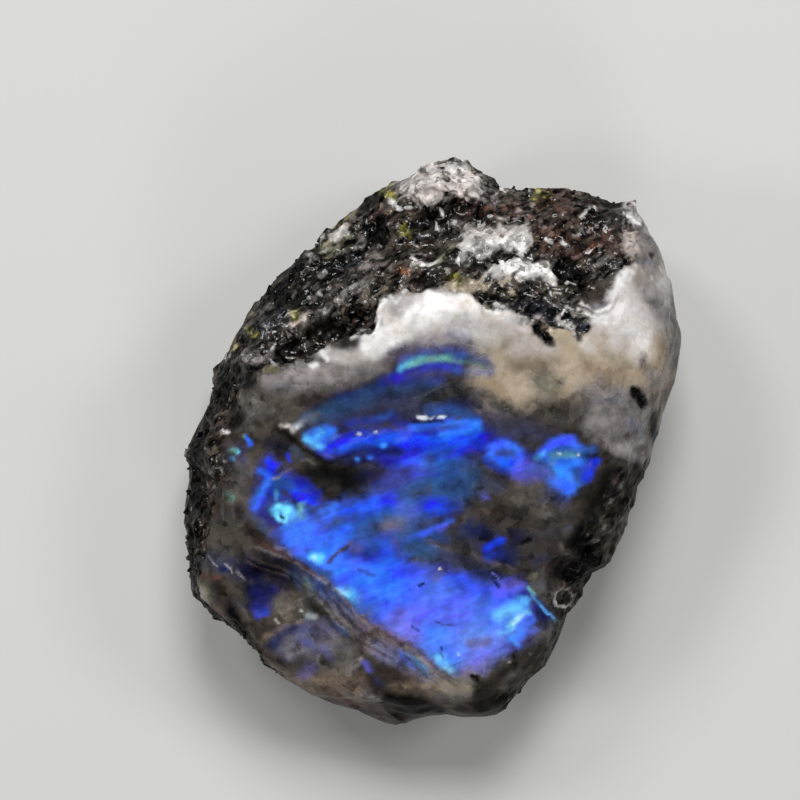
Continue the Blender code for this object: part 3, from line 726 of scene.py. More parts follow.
    ("umber", 0.6, 0.8, 0.8, [(437, 652), (444, 658)]),
    ("ink", 0.7, 1.2, 1, [(412, 628), (417, 631)]),
    ("ink", 0.6, 1, 0.8, [(388, 601)]),
    ("chalk", 1.0, 1.4, 1, [(441, 570)]),
    ("glint", 0.8, 1, 0.9, [(459, 654)]),
    ("chalk", 1.0, 1.5, 1, [(509, 662)]),
    ("chalk", 1.0, 1.4, 1, [(531, 656)]),
    ("ink", 1.0, 1.6, 1.2, [(281, 516), (284, 518)]),
    ("glint", 0.85, 1.4, 1.2, [(359, 436), (361, 436)]),
    ("glint", 0.85, 1.4, 1.2, [(375, 433), (378, 432)]),
    # painted highlight: the white wedge left of the flash, where the face reflects the light
    ("milk", 0.9, 2.6, 3, [(281, 425), (290, 427), (293, 430)]),
    ("glint", 0.85, 2.4, 3, [(295, 426), (303, 424)]),
    ("chalk", 0.8, 1.2, 1.5, [(284, 426), (289, 427)]),
    ("chalk", 0.8, 1.2, 1.5, [(297, 426), (301, 425)]),
    ("petrol", 0.7, 5, 5, [(302, 423), (324, 412), (344, 404)]),
    ("ash", 0.55, 3, 3.5, [(303, 422), (310, 419), (318, 415)]),
    ("glint", 1.0, 1.8, 1.2, [(418, 416), (427, 417)]),
    ("glint", 0.9, 1.3, 1.2, [(431, 417), (433, 418)]),
    ("glint", 0.9, 1.6, 1.2, [(440, 417), (446, 418)]),
    ("chalk", 0.8, 1.8, 1.2, [(221, 431), (228, 433)]),
    ("pearl", 0.7, 1.1, 1, [(274, 479), (279, 478)]),
    ("ash", 0.6, 1.1, 1, [(279, 477), (284, 473), (290, 470)]),
    ("slate", 0.6, 2.2, 2, [(283, 466)]),
    ("ink", 0.9, 5, 3, [(549, 342), (540, 333)]),
    ("ink", 1.0, 5, 2, [(635, 390), (640, 396), (643, 403)]),
    ("ink", 0.85, 3.5, 2.5, [(657, 410), (652, 424), (655, 444)]),
    ("umber", 0.6, 4, 4, [(662, 395), (658, 412)]),
    # the right margin and the bevel, dark to their edges
    ("ink", 0.8, 11, 9, [(590, 520), (602, 500), (608, 480)]),
    ("ink", 1.0, 12, 8, [(580, 545), (592, 560), (575, 580)]),
    ("moss_black", 0.9, 12, 8, [(546, 648), (512, 670), (486, 690)]),
    ("tan", 0.5, 7, 7, [(470, 672), (484, 670)]),
    ("ash", 0.35, 6, 6, [(488, 662), (506, 660)]),
    ("umber", 0.5, 7, 6, [(500, 684), (484, 694)]),
    ("ink", 0.95, 7, 6, [(556, 656), (528, 692), (502, 708)]),
    ("soot", 0.6, 4, 4, [(555, 585), (560, 592)]),
    ("ash", 0.4, 1.6, 1.5, [(551, 628), (548, 640), (551, 648)]),
    ("ash", 0.4, 1.4, 1.5, [(556, 630), (560, 632)]),
    ("milk", 0.9, 1.4, 1.2, [(531, 656)]),
    ("milk", 0.9, 1.4, 1.2, [(509, 662)]),
    ("dusk", 0.6, 4, 3.5, [(534, 562), (545, 558)]),
    ("ash", 0.6, 1.2, 1.2, [(562, 545), (565, 555)]),
    ("ash", 0.4, 0.9, 0.9, [(527, 578), (531, 574), (536, 575), (535, 579)]),
    ("smoke", 0.5, 10, 8, [(490, 682), (520, 668), (545, 650)]),
    ("ash", 0.35, 7, 7, [(285, 612), (300, 600)]),
    ("ash", 0.3, 10, 8, [(292, 648), (322, 650)]),
    ("steel", 0.3, 7, 7, [(322, 588), (354, 612)]),
    ("steel", 0.25, 8, 8, [(385, 652), (425, 670)]),
    ("tan", 0.4, 9, 8, [(320, 688), (356, 684)]),
    ("ash", 0.75, 1.8, 1.2, [(215, 445)]),
    ("ash", 0.75, 1.8, 1.2, [(217, 452), (219, 454)]),
    ("ash", 0.65, 1.8, 1.2, [(209, 460)]),
    ("pearl", 0.6, 1.5, 1.2, [(205, 449)]),
    ("ash", 0.65, 2, 1.2, [(221, 468), (223, 471)]),
    ("ash", 0.65, 1.8, 1.2, [(213, 473)]),
    ("pearl", 0.6, 1.5, 1.2, [(225, 459)]),
    ("ash", 0.6, 2, 1.2, [(200, 468)]),
    ("ash", 0.6, 1.8, 1.2, [(211, 487), (213, 490)]),
    ("ash", 0.6, 1.8, 1.2, [(197, 487)]),
    ("ash", 0.55, 1.8, 1.2, [(203, 503), (206, 507)]),
    ("pearl", 0.5, 1.4, 1.2, [(194, 522)]),
    ("ash", 0.55, 1.8, 1.2, [(201, 534)]),
    ("ash", 0.5, 1.8, 1.2, [(196, 550)]),
    ("cream", 0.55, 8, 7, [(436, 680), (450, 688), (464, 690)]),
    ("tan", 0.4, 6, 6, [(428, 694), (450, 700)]),
    ("ink", 1.0, 2.8, 1.2, [(473, 676), (478, 679)]),
    ("umber", 0.5, 2, 2, [(470, 674), (474, 675)]),
    ("ash", 0.3, 3, 3, [(512, 676), (520, 672)]),
    ("ash", 0.3, 2, 2, [(500, 688), (506, 686)]),
    ("pitch", 0.5, 3, 3, [(528, 668), (536, 660)]),
    ("pitch", 0.5, 3, 3, [(500, 676), (508, 672)]),
    ("ink", 1.0, 5.5, 2, [(638, 394), (642, 400)]),
    ("moss_black", 0.6, 9, 7, [(514, 674), (542, 656), (562, 624)]),
    ("ink", 0.7, 5, 5, [(556, 580), (562, 560), (580, 530)]),
    ("pitch", 0.85, 5, 4, [(562, 650), (538, 684), (508, 706)]),
    ("smoke", 0.6, 2.5, 2.5, [(520, 664), (532, 654)]),
    ("ash", 0.3, 3, 2.5, [(536, 640), (544, 632)]),
    ("ash", 0.25, 3, 2.5, [(504, 680), (514, 676)]),
    ("pitch", 0.5, 2.5, 2, [(524, 676), (532, 682)]),
    ("pitch", 0.5, 2.5, 2, [(548, 652), (552, 660)]),
    ("sky", 0.5, 0.9, 1.1, [(529, 588), (534, 596), (540, 604), (547, 611), (553, 618)]),
    ("ink", 1.0, 4.5, 3, [(388, 698), (405, 702), (425, 708), (440, 711)]),
    ("ash", 0.3, 9, 8, [(280, 606), (300, 612)]),
    ("ash", 0.28, 9, 8, [(288, 640), (325, 652)]),
    ("tan", 0.3, 8, 7, [(318, 684), (360, 694)]),
    ("steel", 0.22, 7, 7, [(318, 580), (352, 612)]),
    ("steel", 0.2, 7, 7, [(380, 648), (430, 674)]),
    # partly painted shade: the lilac-grey and dusky band under the crest's highlight
    ("mauve", 0.45, 5, 6, [(384, 362), (400, 349), (424, 340), (448, 336), (470, 341)]),
    ("ash", 0.3, 4, 6, [(470, 342), (486, 350)]),
    ("dusk", 0.3, 5, 6, [(392, 358), (415, 347), (445, 343), (475, 350)]),
    ("deep", 0.35, 3.5, 4.5, [(386, 378), (405, 372), (425, 368)]),
    ("teal", 0.5, 3, 3.2, [(408, 366), (424, 360), (440, 357), (452, 357)]),
    ("petrol", 0.5, 3, 3.5, [(464, 359), (480, 363), (492, 367)]),
    ("periwinkle", 0.12, 6, 8, [(450, 328), (462, 336)]),
    ("pearl", 0.35, 1.8, 2.2, [(399, 298), (389, 322)]),
    ("pearl", 0.35, 1.8, 2.2, [(409, 303), (400, 318)]),
    ("pearl", 0.3, 2, 2.5, [(421, 306), (408, 328)]),
    # a painted highlight along the edge of the chip by the crest
    ("chalk", 0.6, 1.6, 2, [(383, 300), (376, 322)]),
    ("tan", 0.5, 1.8, 2, [(481, 307), (483, 314)]),
]
CRUST_STROKES = [
    # the knob and the crust between it and the crest
    ("ash", 0.9, 17, 6, [(412, 182), (440, 170), (470, 175)]),
    ("milk", 1.0, 14, 8, [(412, 184), (440, 174), (468, 180)]),
    ("milk", 1.0, 13, 7, [(425, 192), (468, 194)]),
    ("chalk", 0.5, 12, 8, [(424, 188), (470, 186)]),
    ("pink", 0.7, 14, 9, [(425, 188), (460, 188)]),
    ("chalk", 0.6, 8, 7, [(430, 180), (460, 178)]),
    ("milk", 0.8, 8, 5, [(405, 185), (425, 190)]),
    ("ash", 0.7, 7, 5, [(500, 205), (480, 200)]),
    ("umber", 1.0, 16, 8, [(390, 215), (420, 235)]),
    ("rust", 0.8, 9, 6, [(375, 212), (390, 222)]),
    ("ink", 0.9, 9, 6, [(350, 205), (375, 195)]),
    ("ink", 0.9, 12, 7, [(425, 222), (450, 208), (470, 210)]),
    ("rust", 0.9, 9, 6, [(470, 205), (530, 210)]),
    ("rust", 0.8, 14, 8, [(545, 200), (590, 215)]),
    ("rust", 0.9, 14, 8, [(540, 235), (580, 248)]),
    ("ink", 0.8, 10, 6, [(580, 210), (605, 215)]),
    ("ink", 0.9, 10, 6, [(605, 195), (630, 205)]),
    ("rust", 0.8, 12, 7, [(595, 245), (610, 240)]),
    ("ash", 0.8, 8, 5, [(595, 265), (605, 262)]),
    ("chalk", 1.0, 10, 6, [(470, 248), (500, 240), (520, 240)]),
    ("milk", 0.9, 8, 5, [(470, 235), (525, 230)]),
    ("chalk", 1.0, 10, 6, [(500, 270), (535, 268), (550, 272)]),
    ("cream", 0.9, 8, 5, [(455, 280), (480, 288), (510, 285)]),
    ("ink", 1.0, 6, 4, [(475, 258), (500, 256)]),
    ("ink", 0.9, 9, 6, [(420, 280), (440, 270)]),
    ("umber", 0.8, 10, 6, [(430, 255), (460, 262)]),
    ("ink", 1.0, 7, 4, [(482, 296), (500, 302)]),
    ("ink", 0.9, 3, 2, [(492, 288), (510, 285), (540, 284)]),
    ("ink", 1.0, 9, 5, [(525, 305), (560, 318), (582, 325)]),
    ("slate", 0.4, 9, 6, [(530, 310), (580, 322)]),
    ("ink", 1.0, 4, 3, [(538, 328), (549, 341)]),
    ("ink", 0.9, 4, 3, [(576, 332), (580, 338)]),
    ("ink", 1.0, 10, 5, [(562, 268), (580, 278)]),
    ("soot", 0.9, 8, 4, [(615, 265), (632, 256)]),
    # painted shade inside the dimple on the shoulder
    ("umber", 0.9, 8, 6, [(590, 288), (602, 296)]),
    ("pink", 1.0, 9, 4, [(629, 236), (634, 247)]),
    ("milk", 0.7, 7, 4, [(630, 236), (634, 244)]),
    ("milk", 0.8, 9, 6, [(630, 208), (642, 222)]),
    ("ash", 0.8, 10, 7, [(645, 240), (655, 270)]),
    ("pearl", 0.7, 8, 6, [(640, 280), (665, 300)]),
    ("ink", 0.8, 4, 3, [(652, 215), (640, 228)]),
    ("ink", 0.85, 3, 2, [(651, 255)]),
    ("ash", 0.6, 5, 5, [(646, 262), (652, 268)]),
    # the crust's left slope
    ("ink", 1.0, 12, 7, [(262, 300), (285, 275), (312, 252), (335, 236)]),
    ("ink", 1.0, 18, 9, [(300, 300), (335, 262), (372, 228)]),
    ("ink", 1.0, 14, 8, [(240, 350), (262, 325), (290, 298)]),
    ("ink", 1.0, 10, 7, [(215, 395), (230, 370), (245, 350)]),
    ("olive_grey", 0.9, 6, 4, [(322, 248), (345, 236)]),
    ("chalk", 1.0, 3.5, 2, [(317, 241), (323, 237)]),
    ("milk", 0.8, 4, 2.5, [(334, 239), (347, 231)]),
    ("milk", 0.7, 3.5, 2.5, [(311, 256)]),
    ("pearl", 0.6, 2.5, 2, [(352, 240), (358, 234)]),
    ("ash", 0.9, 9, 5, [(350, 274), (362, 264), (374, 256)]),
    ("ink", 0.8, 4, 3, [(338, 278), (352, 268)]),
    ("ash", 0.7, 4, 3, [(322, 286), (334, 276)]),
    ("ash", 0.6, 2.5, 2, [(300, 288), (306, 282)]),
    ("pearl", 0.6, 2, 1.6, [(318, 270), (322, 266)]),
    ("ash", 0.6, 2.5, 2, [(286, 296), (290, 290)]),
    ("pearl", 0.6, 2, 1.6, [(305, 262), (310, 258)]),
    ("slate", 0.8, 7, 5, [(340, 262), (352, 256)]),
    ("ash", 1.0, 7, 5, [(330, 302), (346, 292), (362, 282)]),
    ("pearl", 0.8, 4, 3, [(342, 294), (360, 284)]),
    ("pearl", 0.8, 2.5, 2, [(307, 298), (312, 294), (322, 288)]),
    ("ash", 0.7, 3, 2.5, [(290, 312), (300, 304)]),
    ("slate", 0.9, 6, 4, [(258, 329), (270, 321), (282, 315)]),
    ("ash", 0.6, 2.5, 2, [(262, 322), (272, 316)]),
    ("ash", 1.0, 5, 3, [(288, 331), (298, 322), (308, 315)]),
    ("pink", 0.8, 3.5, 2.5, [(294, 325), (304, 318)]),
    ("ash", 1.0, 12, 6, [(250, 357), (266, 357)]),
    ("pearl", 0.7, 7, 4, [(250, 361), (260, 360)]),
    # a painted glint
    ("chalk", 0.9, 3, 2, [(277, 347)]),
    ("ink", 0.6, 2.5, 2, [(240, 346), (236, 356)]),
    # partly painted shadow: the dark beside the raised grey lump and in the chip's hollow
    ("ink", 1.0, 7, 5, [(280, 356), (300, 340), (322, 325)]),
    ("umber", 1.0, 9, 6, [(310, 345), (335, 335), (352, 322)]),
    ("ink", 0.7, 4, 3.5, [(345, 345), (360, 336)]),
    ("ink", 0.9, 9, 5, [(245, 382), (220, 390)]),
    ("umber", 0.7, 5, 4, [(226, 352), (236, 340)]),
    ("olive_grey", 0.7, 4, 3, [(246, 312), (238, 322)]),
    ("pearl", 0.6, 2.5, 2, [(226, 352), (230, 346)]),
    ("ash", 0.6, 3, 2.5, [(240, 334), (246, 326)]),
    ("ash", 0.5, 3, 2.5, [(258, 312), (264, 306)]),
    ("ash", 0.5, 3, 2.5, [(228, 362), (234, 358)]),
    # olive and orange grains
    ("moss", 1.0, 3.8, 1.5, [(329, 225), (346, 209)]),
    ("moss", 1.0, 4.8, 2, [(385, 190), (388, 194)]),
    ("moss", 1.0, 4.8, 2, [(404, 229), (408, 233)]),
    ("moss", 1.0, 4.3, 2, [(293, 310), (296, 315)]),
    ("moss", 1.0, 4.3, 2, [(249, 330), (253, 333)]),
    ("moss", 1.0, 4.8, 2, [(453, 276), (458, 280)]),
    ("moss", 1.0, 4.8, 2, [(535, 197), (540, 195)]),
    ("moss", 1.0, 4.8, 2, [(548, 198)]),
    ("moss", 0.45, 2.5, 3, [(266, 370), (277, 370)]),
    ("moss", 1.0, 3.8, 2, [(232, 345)]),
    ("orange", 0.7, 4, 3, [(401, 268), (406, 271)]),
    ("orange", 0.7, 3, 2, [(592, 243)]),
    # painted highlights: white strokes along crisp edges of white feldspar and round the dimple, where they
    # catch the light, and glint dots
    ("chalk", 1.0, 1.5, 1, [(546, 299), (560, 310), (574, 315), (588, 318)]),
    ("chalk", 0.9, 1.4, 1, [(566, 305), (573, 309)]),
    ("chalk", 0.9, 1.4, 1.2, [(581, 304), (590, 309), (600, 311), (610, 307)]),
    ("chalk", 0.8, 1.3, 1.2, [(577, 309), (588, 315), (600, 318), (609, 316)]),
    ("chalk", 0.7, 5, 4, [(612, 297), (618, 285), (626, 275)]),
    ("chalk", 0.5, 3, 3, [(592, 322), (606, 322)]),
    ("milk", 0.9, 3, 2, [(560, 318), (572, 328), (577, 333)]),
    ("pearl", 0.8, 2.5, 2, [(538, 318), (546, 322)]),
    ("chalk", 1.0, 1.6, 1.2, [(478, 254), (490, 253)]),
    ("chalk", 1.0, 1.8, 1.2, [(458, 257), (464, 261)]),
    ("chalk", 1.0, 4, 3, [(514, 242), (522, 248)]),
    ("chalk", 0.9, 1, 0.8, [(545, 285), (552, 293)]),
    ("chalk", 0.9, 1, 0.8, [(570, 278), (577, 283)]),
    ("milk", 0.8, 1.4, 1, [(501, 303), (506, 305)]),
    ("chalk", 0.9, 2, 1.4, [(497, 303)]),
    ("milk", 0.9, 2, 1.5, [(318, 293), (322, 296)]),
    ("ash", 0.8, 3, 2, [(329, 302), (333, 304)]),
    ("pearl", 0.8, 3, 2.5, [(316, 318), (324, 312)]),
    ("chalk", 1.0, 1.5, 1.2, [(562, 243), (567, 247)]),
    ("chalk", 0.9, 1, 0.8, [(548, 240), (553, 244)]),
    # glints that lie in rows and crescents on the dark crust
    ("chalk", 0.9, 1.8, 1.2, [(412, 254), (419, 261), (429, 263), (438, 258)]),
    ("olive_grey", 0.7, 2.5, 2, [(436, 262), (446, 252), (452, 243)]),
    ("chalk", 0.9, 2.2, 1.5, [(390, 199), (397, 204)]),
    ("chalk", 0.8, 1.5, 1.2, [(404, 203), (409, 206)]),
    ("chalk", 1.0, 2, 1.4, [(432, 224), (436, 229)]),
    ("chalk", 0.9, 1.8, 1.2, [(440, 212), (441, 217)]),
    ("milk", 0.8, 1.4, 1.2, [(420, 205), (426, 206)]),
    ("milk", 0.7, 1.6, 1.4, [(453, 221), (456, 226)]),
    ("milk", 0.8, 1.4, 1.2, [(498, 216), (506, 217)]),
    ("milk", 0.8, 1.4, 1.2, [(512, 217), (519, 216)]),
    ("milk", 0.7, 1.4, 1.2, [(522, 213), (527, 212)]),
    ("chalk", 0.9, 1.5, 1.2, [(580, 218), (588, 212), (597, 205)]),
    ("milk", 0.8, 1.4, 1.2, [(573, 234), (580, 231)]),
    ("milk", 0.8, 1.4, 1.2, [(585, 229), (590, 227)]),
    ("chalk", 0.9, 1.4, 1.2, [(624, 216), (632, 219), (640, 224)]),
    ("milk", 0.8, 1.4, 1.2, [(571, 201), (577, 203)]),
    ("milk", 0.7, 1.4, 1.2, [(569, 280), (577, 284)]),
    ("chalk", 0.9, 1.6, 1.2, [(501, 186), (506, 189)]),
    ("milk", 0.7, 1.4, 1.2, [(411, 242), (416, 245)]),
    ("slate", 0.8, 2.5, 2, [(392, 222), (398, 228)]),
    ("slate", 0.7, 2.5, 2, [(414, 234), (420, 238)]),
    ("chalk", 0.9, 1.4, 1.2, [(460, 259), (465, 262)]),
    # dark flecks in the knob
    ("ink", 0.9, 1.5, 1.2, [(441, 172), (443, 176)]),
    ("ink", 0.9, 1.6, 1.2, [(456, 177), (462, 177)]),
    ("umber", 0.8, 1.4, 1.2, [(444, 181), (452, 182)]),
    ("umber", 0.8, 1.8, 1.4, [(440, 192), (447, 194)]),
    ("ochre", 0.7, 1.5, 1.2, [(455, 184)]),
    ("umber", 0.7, 1.3, 1.2, [(433, 190), (436, 193)]),
    ("umber", 0.7, 1.3, 1.2, [(447, 187), (449, 190)]),
    ("ink", 0.8, 2.5, 1.5, [(459, 158), (464, 162)]),
    ("ash", 0.7, 7, 5, [(497, 196), (485, 190)]),
    ("umber", 0.6, 2, 1.5, [(420, 173), (428, 176)]),
    ("pitch", 0.45, 7, 7, [(520, 205), (545, 198), (575, 205)]),
    ("ink", 0.5, 5, 5, [(590, 213), (608, 224), (620, 238)]),
    ("pitch", 0.4, 6, 6, [(556, 242), (585, 238)]),
    ("ink", 0.6, 3, 2.5, [(470, 208), (486, 214)]),
    ("umber", 0.85, 1.4, 1.2, [(444, 177)]),
    ("umber", 0.85, 1.6, 1.2, [(451, 182), (453, 184)]),
    ("umber", 0.8, 1.4, 1.2, [(457, 174)]),
    ("ink", 0.8, 1.4, 1.2, [(461, 178)]),
    ("umber", 0.8, 1.4, 1.2, [(441, 186)]),
    ("umber", 0.8, 1.4, 1.2, [(450, 190), (454, 191)]),
    ("ink", 0.8, 1.8, 1.4, [(512, 276), (518, 274)]),
    ("ink", 0.8, 1.8, 1.4, [(496, 280), (501, 284)]),
    ("ink", 0.8, 1.8, 1.4, [(526, 283), (533, 286)]),
    ("ink", 0.7, 1.6, 1.4, [(507, 291), (511, 293)]),
    ("moss", 0.6, 2.2, 2, [(533, 196), (540, 198)]),
]
# Where the crust lies: how grainy it is, and the corners of a ring round it in steps of the view.
CRUST_RINGS = {
    "far end": (1.0, [
        (195, 430), (225, 388), (245, 374), (262, 376), (285, 362), (303, 360), (316, 346), (330, 340),
        (350, 338), (362, 334), (373, 330), (375, 312), (381, 300), (392, 291), (410, 289), (430, 287),
        (452, 291), (470, 293), (484, 306), (500, 311), (516, 309), (522, 324), (535, 331), (547, 343),
        (553, 332), (570, 326), (580, 338), (592, 330), (588, 318), (578, 306), (586, 291), (606, 286),
        (620, 272), (636, 256), (640, 240), (632, 224), (645, 205), (655, 192), (700, 130), (130, 130),
        (130, 390),
    ]),
    "left margin": (0.95, [
        (130, 371), (245, 374), (238, 392), (240, 410), (226, 425), (222, 445), (226, 470), (216, 490),
        (208, 520), (206, 550), (198, 575), (196, 600), (212, 618), (236, 625), (255, 645), (275, 670),
        (290, 685), (130, 700),
    ]),
    "right margin": (0.52, [
        (705, 456), (650, 460), (618, 466), (608, 480), (600, 500), (590, 520), (575, 545), (556, 560),
        (560, 585), (556, 605), (562, 620), (545, 655), (525, 680), (495, 700), (530, 741), (705, 670),
    ]),
}
CRUST_EDGE = 0.5  # how far the crust takes to thin out
CRUST_RAGGED = 0.35
BARE_WALLS = ((0.3, 10.6, 1.1), (9.6, 4.6, 2.6))  # middle and radius of the feldspar that reaches the walls
FACE_GRAIN = 0.03  # how grainy the ground face is
LIP_PATH = [
    (260, 543), (300, 560), (330, 580), (345, 598), (366, 622), (403, 643), (436, 664), (455, 680),
]
LIP_FIBRES = 44
LIP_WIDTH = (0.05, 0.9)  # nearest and farthest fibre from the lip's edge
LIP_TINTS = ("ink", "umber", "pitch", "pearl", "mauve", "tan", "slate", "soot", "dusk")
FIBRE_COVER = (0.12, 0.4)
FIBRE_HALF_WIDTH = 0.035
FIBRE_SOFTNESS = 0.07
FIBRE_WAVER = 0.03
FIBRE_SEED = 7
CRISP = 0.09  # strokes softer than this are mottled
UNMOTTLED = ("ink", "pitch", "night", "cream", "milk", "chalk")
# Ledges, ridges, pits and hollows: how high each stands in millimetres, half its width, its edge, its path.
RELIEF_STROKES = [
    # ledges and creases of the ground face
    (0.04, 2, 3, [(416, 416), (447, 413)]),
    (0.05, 1, 1.5, [(354, 436), (366, 434)]),
    (0.05, 1, 1.5, [(371, 432), (380, 430)]),
    (0.12, 10, 22, [(275, 377), (320, 370), (372, 350), (440, 308), (520, 318)]),
    (0.08, 6, 7, [(320, 350), (335, 352)]),
    (-0.06, 10, 24, [(300, 452), (325, 468), (380, 472)]),
    (0.04, 3, 14, [(300, 440), (360, 430), (430, 425), (490, 432)]),
    (0.1, 8, 10, [(545, 450), (590, 452)]),
    (-0.12, 9, 9, [(560, 470), (572, 478)]),
    (-0.06, 2, 3, [(430, 543), (470, 552), (500, 562), (530, 575)]),
    (-0.06, 0.8, 1, [(325, 555), (338, 543), (350, 537)]),
    (-0.05, 0.8, 1, [(433, 622), (448, 627), (464, 627)]),
    # the lip
    (0.04, 3, 6, [(238, 512), (262, 543), (300, 565), (330, 590), (366, 625), (403, 644), (436, 667),
         (455, 684)]),
    (-0.045, 2.5, 4, [(250, 552), (298, 573), (328, 598), (360, 632), (400, 656), (430, 680)]),
    (0.03, 2.5, 4, [(255, 566), (292, 583), (322, 606), (352, 640), (395, 668), (420, 690)]),
    (-0.045, 2, 3.5, [(270, 585), (300, 598), (330, 625), (350, 650)]),
    (0.07, 2, 2, [(280, 615), (308, 598), (320, 606)]),
    (-0.12, 10, 10, [(250, 580), (285, 585)]),
    (0.06, 1.5, 2, [(340, 684), (380, 706), (405, 722)]),
    (-0.06, 1.5, 2, [(330, 690), (370, 714), (400, 726)]),
    (0.06, 1.5, 2, [(440, 690), (470, 705), (480, 712)]),
    # pits, a gas bubble's ring, and the flecks that have dropped out
    (-0.12, 1.5, 2, [(283, 517)]),
    (-0.25, 3, 3, [(640, 396), (643, 405)]),
    (-0.16, 2, 2, [(549, 341), (538, 330)]),
    (-0.1, 2, 1.5, [(472, 675), (479, 677)]),
    (-0.1, 1.5, 1.2, [(419, 586), (424, 584)]),
    (0.08, 2, 2, [(555, 599), (558, 592), (564, 589), (570, 591), (573, 598), (571, 604), (565, 607),
         (559, 605), (555, 599)]),
    (-0.1, 4, 3, [(564, 598)]),
    (-0.2, 10, 9, [(562, 572), (590, 580)]),
    # the chip beside the crest and the dimple on the shoulder
    (-0.42, 10, 9, [(316, 339), (350, 323), (366, 318)]),
    (-0.35, 7, 9, [(597, 293)]),
    (0.12, 2, 3, [(583, 309), (598, 314), (611, 307), (616, 292)]),
    (-0.12, 8, 4, [(525, 305), (560, 316), (582, 324)]),
    (-0.22, 5, 4, [(482, 296), (500, 302)]),
    # heights and hollows of the crust
    (-0.36, 9, 12, [(272, 302), (335, 262), (372, 228)]),
    (-0.3, 7, 8, [(282, 353), (310, 336), (345, 318)]),
    (-0.28, 8, 9, [(342, 212), (378, 196)]),
    (-0.32, 8, 9, [(425, 222), (470, 212)]),
    (-0.3, 7, 8, [(562, 268), (582, 280)]),
    (-0.3, 7, 8, [(418, 284), (445, 272)]),
    (-0.25, 5, 6, [(470, 257), (505, 256)]),
    (-0.25, 5, 6, [(600, 262), (632, 256)]),
    (0.26, 11, 12, [(485, 243), (515, 240)]),
    (0.22, 8, 9, [(505, 270), (548, 270)]),
    (0.25, 12, 12, [(425, 180), (465, 176)]),
    (0.26, 10, 9, [(250, 358), (265, 356)]),
    (0.2, 6, 6, [(293, 327), (304, 319)]),
    (0.2, 6, 7, [(320, 240), (348, 232)]),
    (0.22, 8, 8, [(335, 300), (364, 288)]),
    (0.24, 9, 10, [(545, 200), (590, 212)]),
    (0.2, 7, 8, [(540, 238), (575, 246)]),
    (0.2, 7, 8, [(612, 222), (632, 205)]),
    (0.2, 6, 7, [(385, 215), (400, 235)]),
    (-0.2, 5, 6, [(395, 200), (412, 205)]),
    (0.18, 6, 6, [(440, 240), (455, 246)]),
    (0.1, 1.5, 1.5, [(546, 299), (560, 310), (574, 315), (588, 318)]),
    (0.08, 1.2, 1.2, [(478, 254), (490, 253)]),
    (0.1, 2, 2, [(384, 300), (379, 312), (376, 325), (374, 336)]),
]


def on_stone(path):
    """The places on the stone, in millimetres, that show at the points of a path in the camera's view."""
    eye = camera.location / MM
    step = VIEW_WIDTH / VIEW_STEPS / MM
    middle = VIEW_STEPS / 2
    spots = []
    for across, down in path:
        sight = Vector(((across - middle) * step, (middle - down) * step, VIEW_LEVEL / MM - eye.z))
        seen = solid.ray_cast(eye, sight)[0] or eye + sight
        spots.append(tuple(round(value * PLACES_PER_MM) / PLACES_PER_MM for value in seen.xy))
    return spots


def wide(steps):
    """A width in steps of the view, in millimetres."""
    return round(steps * STEP, WIDTH_DECIMALS)


def laid(strokes):
    """Strokes with their widths, edges and paths brought from steps of the view to millimetres."""
    return [(*first, wide(half_width), wide(softness), on_stone(path))
            for *first, half_width, softness, path in strokes]


def seen_colour(name):
    """A finish as a linear colour."""
    share = np.array(FINISHES[name]) / 255
    return np.where(share <= 0.04045, share / 12.92, ((share + 0.055) / 1.055) ** 2.4)


def between(name, other, share):
    """A colour for each point, from one finish at 0 to another at 1."""
    return seen_colour(name) + (seen_colour(other) - seen_colour(name)) * share[:, None]


def smooth(value):
    """0 below 0 and 1 above 1, eased between them."""
    value = np.clip(value, 0.0, 1.0)
    return value * value * (3 - 2 * value)


def reach(x, y, path):
    """Distance of each point from a path."""
    nearest = np.full(len(x), np.inf)
    for (ax, ay), (bx, by) in zip(path, path[1:] or path):
        length = (bx - ax) ** 2 + (by - ay) ** 2
        along = np.clip(((x - ax) * (bx - ax) + (y - ay) * (by - ay)) / max(length, 1e-9), 0.0, 1.0)
        nearest = np.minimum(nearest, np.hypot(x - ax - along * (bx - ax), y - ay - along * (by - ay)))
    return nearest


def covered(x, y, half_width, softness, path, ragged=0.0):
    """How far each point lies under a stroke, from 0 to 1. Raggedness is in shares of the edge's softness."""
    distance = reach(x, y, path) + softness * ragged
    return smooth((half_width + softness - distance) / (2 * softness))


def inside(x, y, ring):
    """How deep each point is inside a ring of corners, below 0 outside it."""
    crossings = np.zeros(len(x), bool)
    for (ax, ay), (bx, by) in zip(ring, ring[1:] + ring[:1]):
        spans = (ay > y) != (by > y)
        crossings ^= spans & (x < (bx - ax) * (y - ay) / ((by - ay) or 1e-9) + ax)
    edge = reach(x, y, ring + ring[:1])
    return np.where(crossings, edge, -edge)


def speckle(points, size, octaves, shift):
    """Noise from about -1 to 1, whose lumps are one size across. The shift picks another part of it."""
    move = Vector((shift, -shift, 2 * shift))
    return np.array([noise.fractal(Vector(p) / size + move, NOISE_FALL, NOISE_STEP, octaves) for p in points])


def drift(points, size, shift):
    """Noise that moves points sideways."""
    move = Vector((shift, shift, -shift))
    return np.array([noise.noise_vector(Vector(p) / size + move) for p in points])


# What makes the strokes uneven: the size of each noise, its octaves and its shift.
GRAIN_HEADING = math.radians(22)  # the flash lies in streaks this way
STREAK = (2.4, 0.34, 1.0)  # length, width and depth of one streak
STREAK_NOISE = (1.0, 3, 5.0)  # its size is in streaks
GRIT = (0.3, 2, 9.0)
SOFT_CLOUDS = (1.1, 3, 41.0)
MOTTLES = ((0.45, 3, 3.0), (0.7, 3, 13.0), (0.32, 3, 23.0))
MOTTLE_MEAN = 1.05
MOTTLE_SWING = 0.6
MOTTLE_LEAST = 0.5
WANDER = ((0.08, 1.3, 2.0), (0.06, 0.42, 8.0), (0.05, 0.17, 4.0))  # how far a stroke strays, size and shift
WALL_WANDER = (0.5, 1.2, 6.0)  # the same down a wall, where it breaks up and is lost
STEEP_START = 0.4  # where the surface looks up by less than this

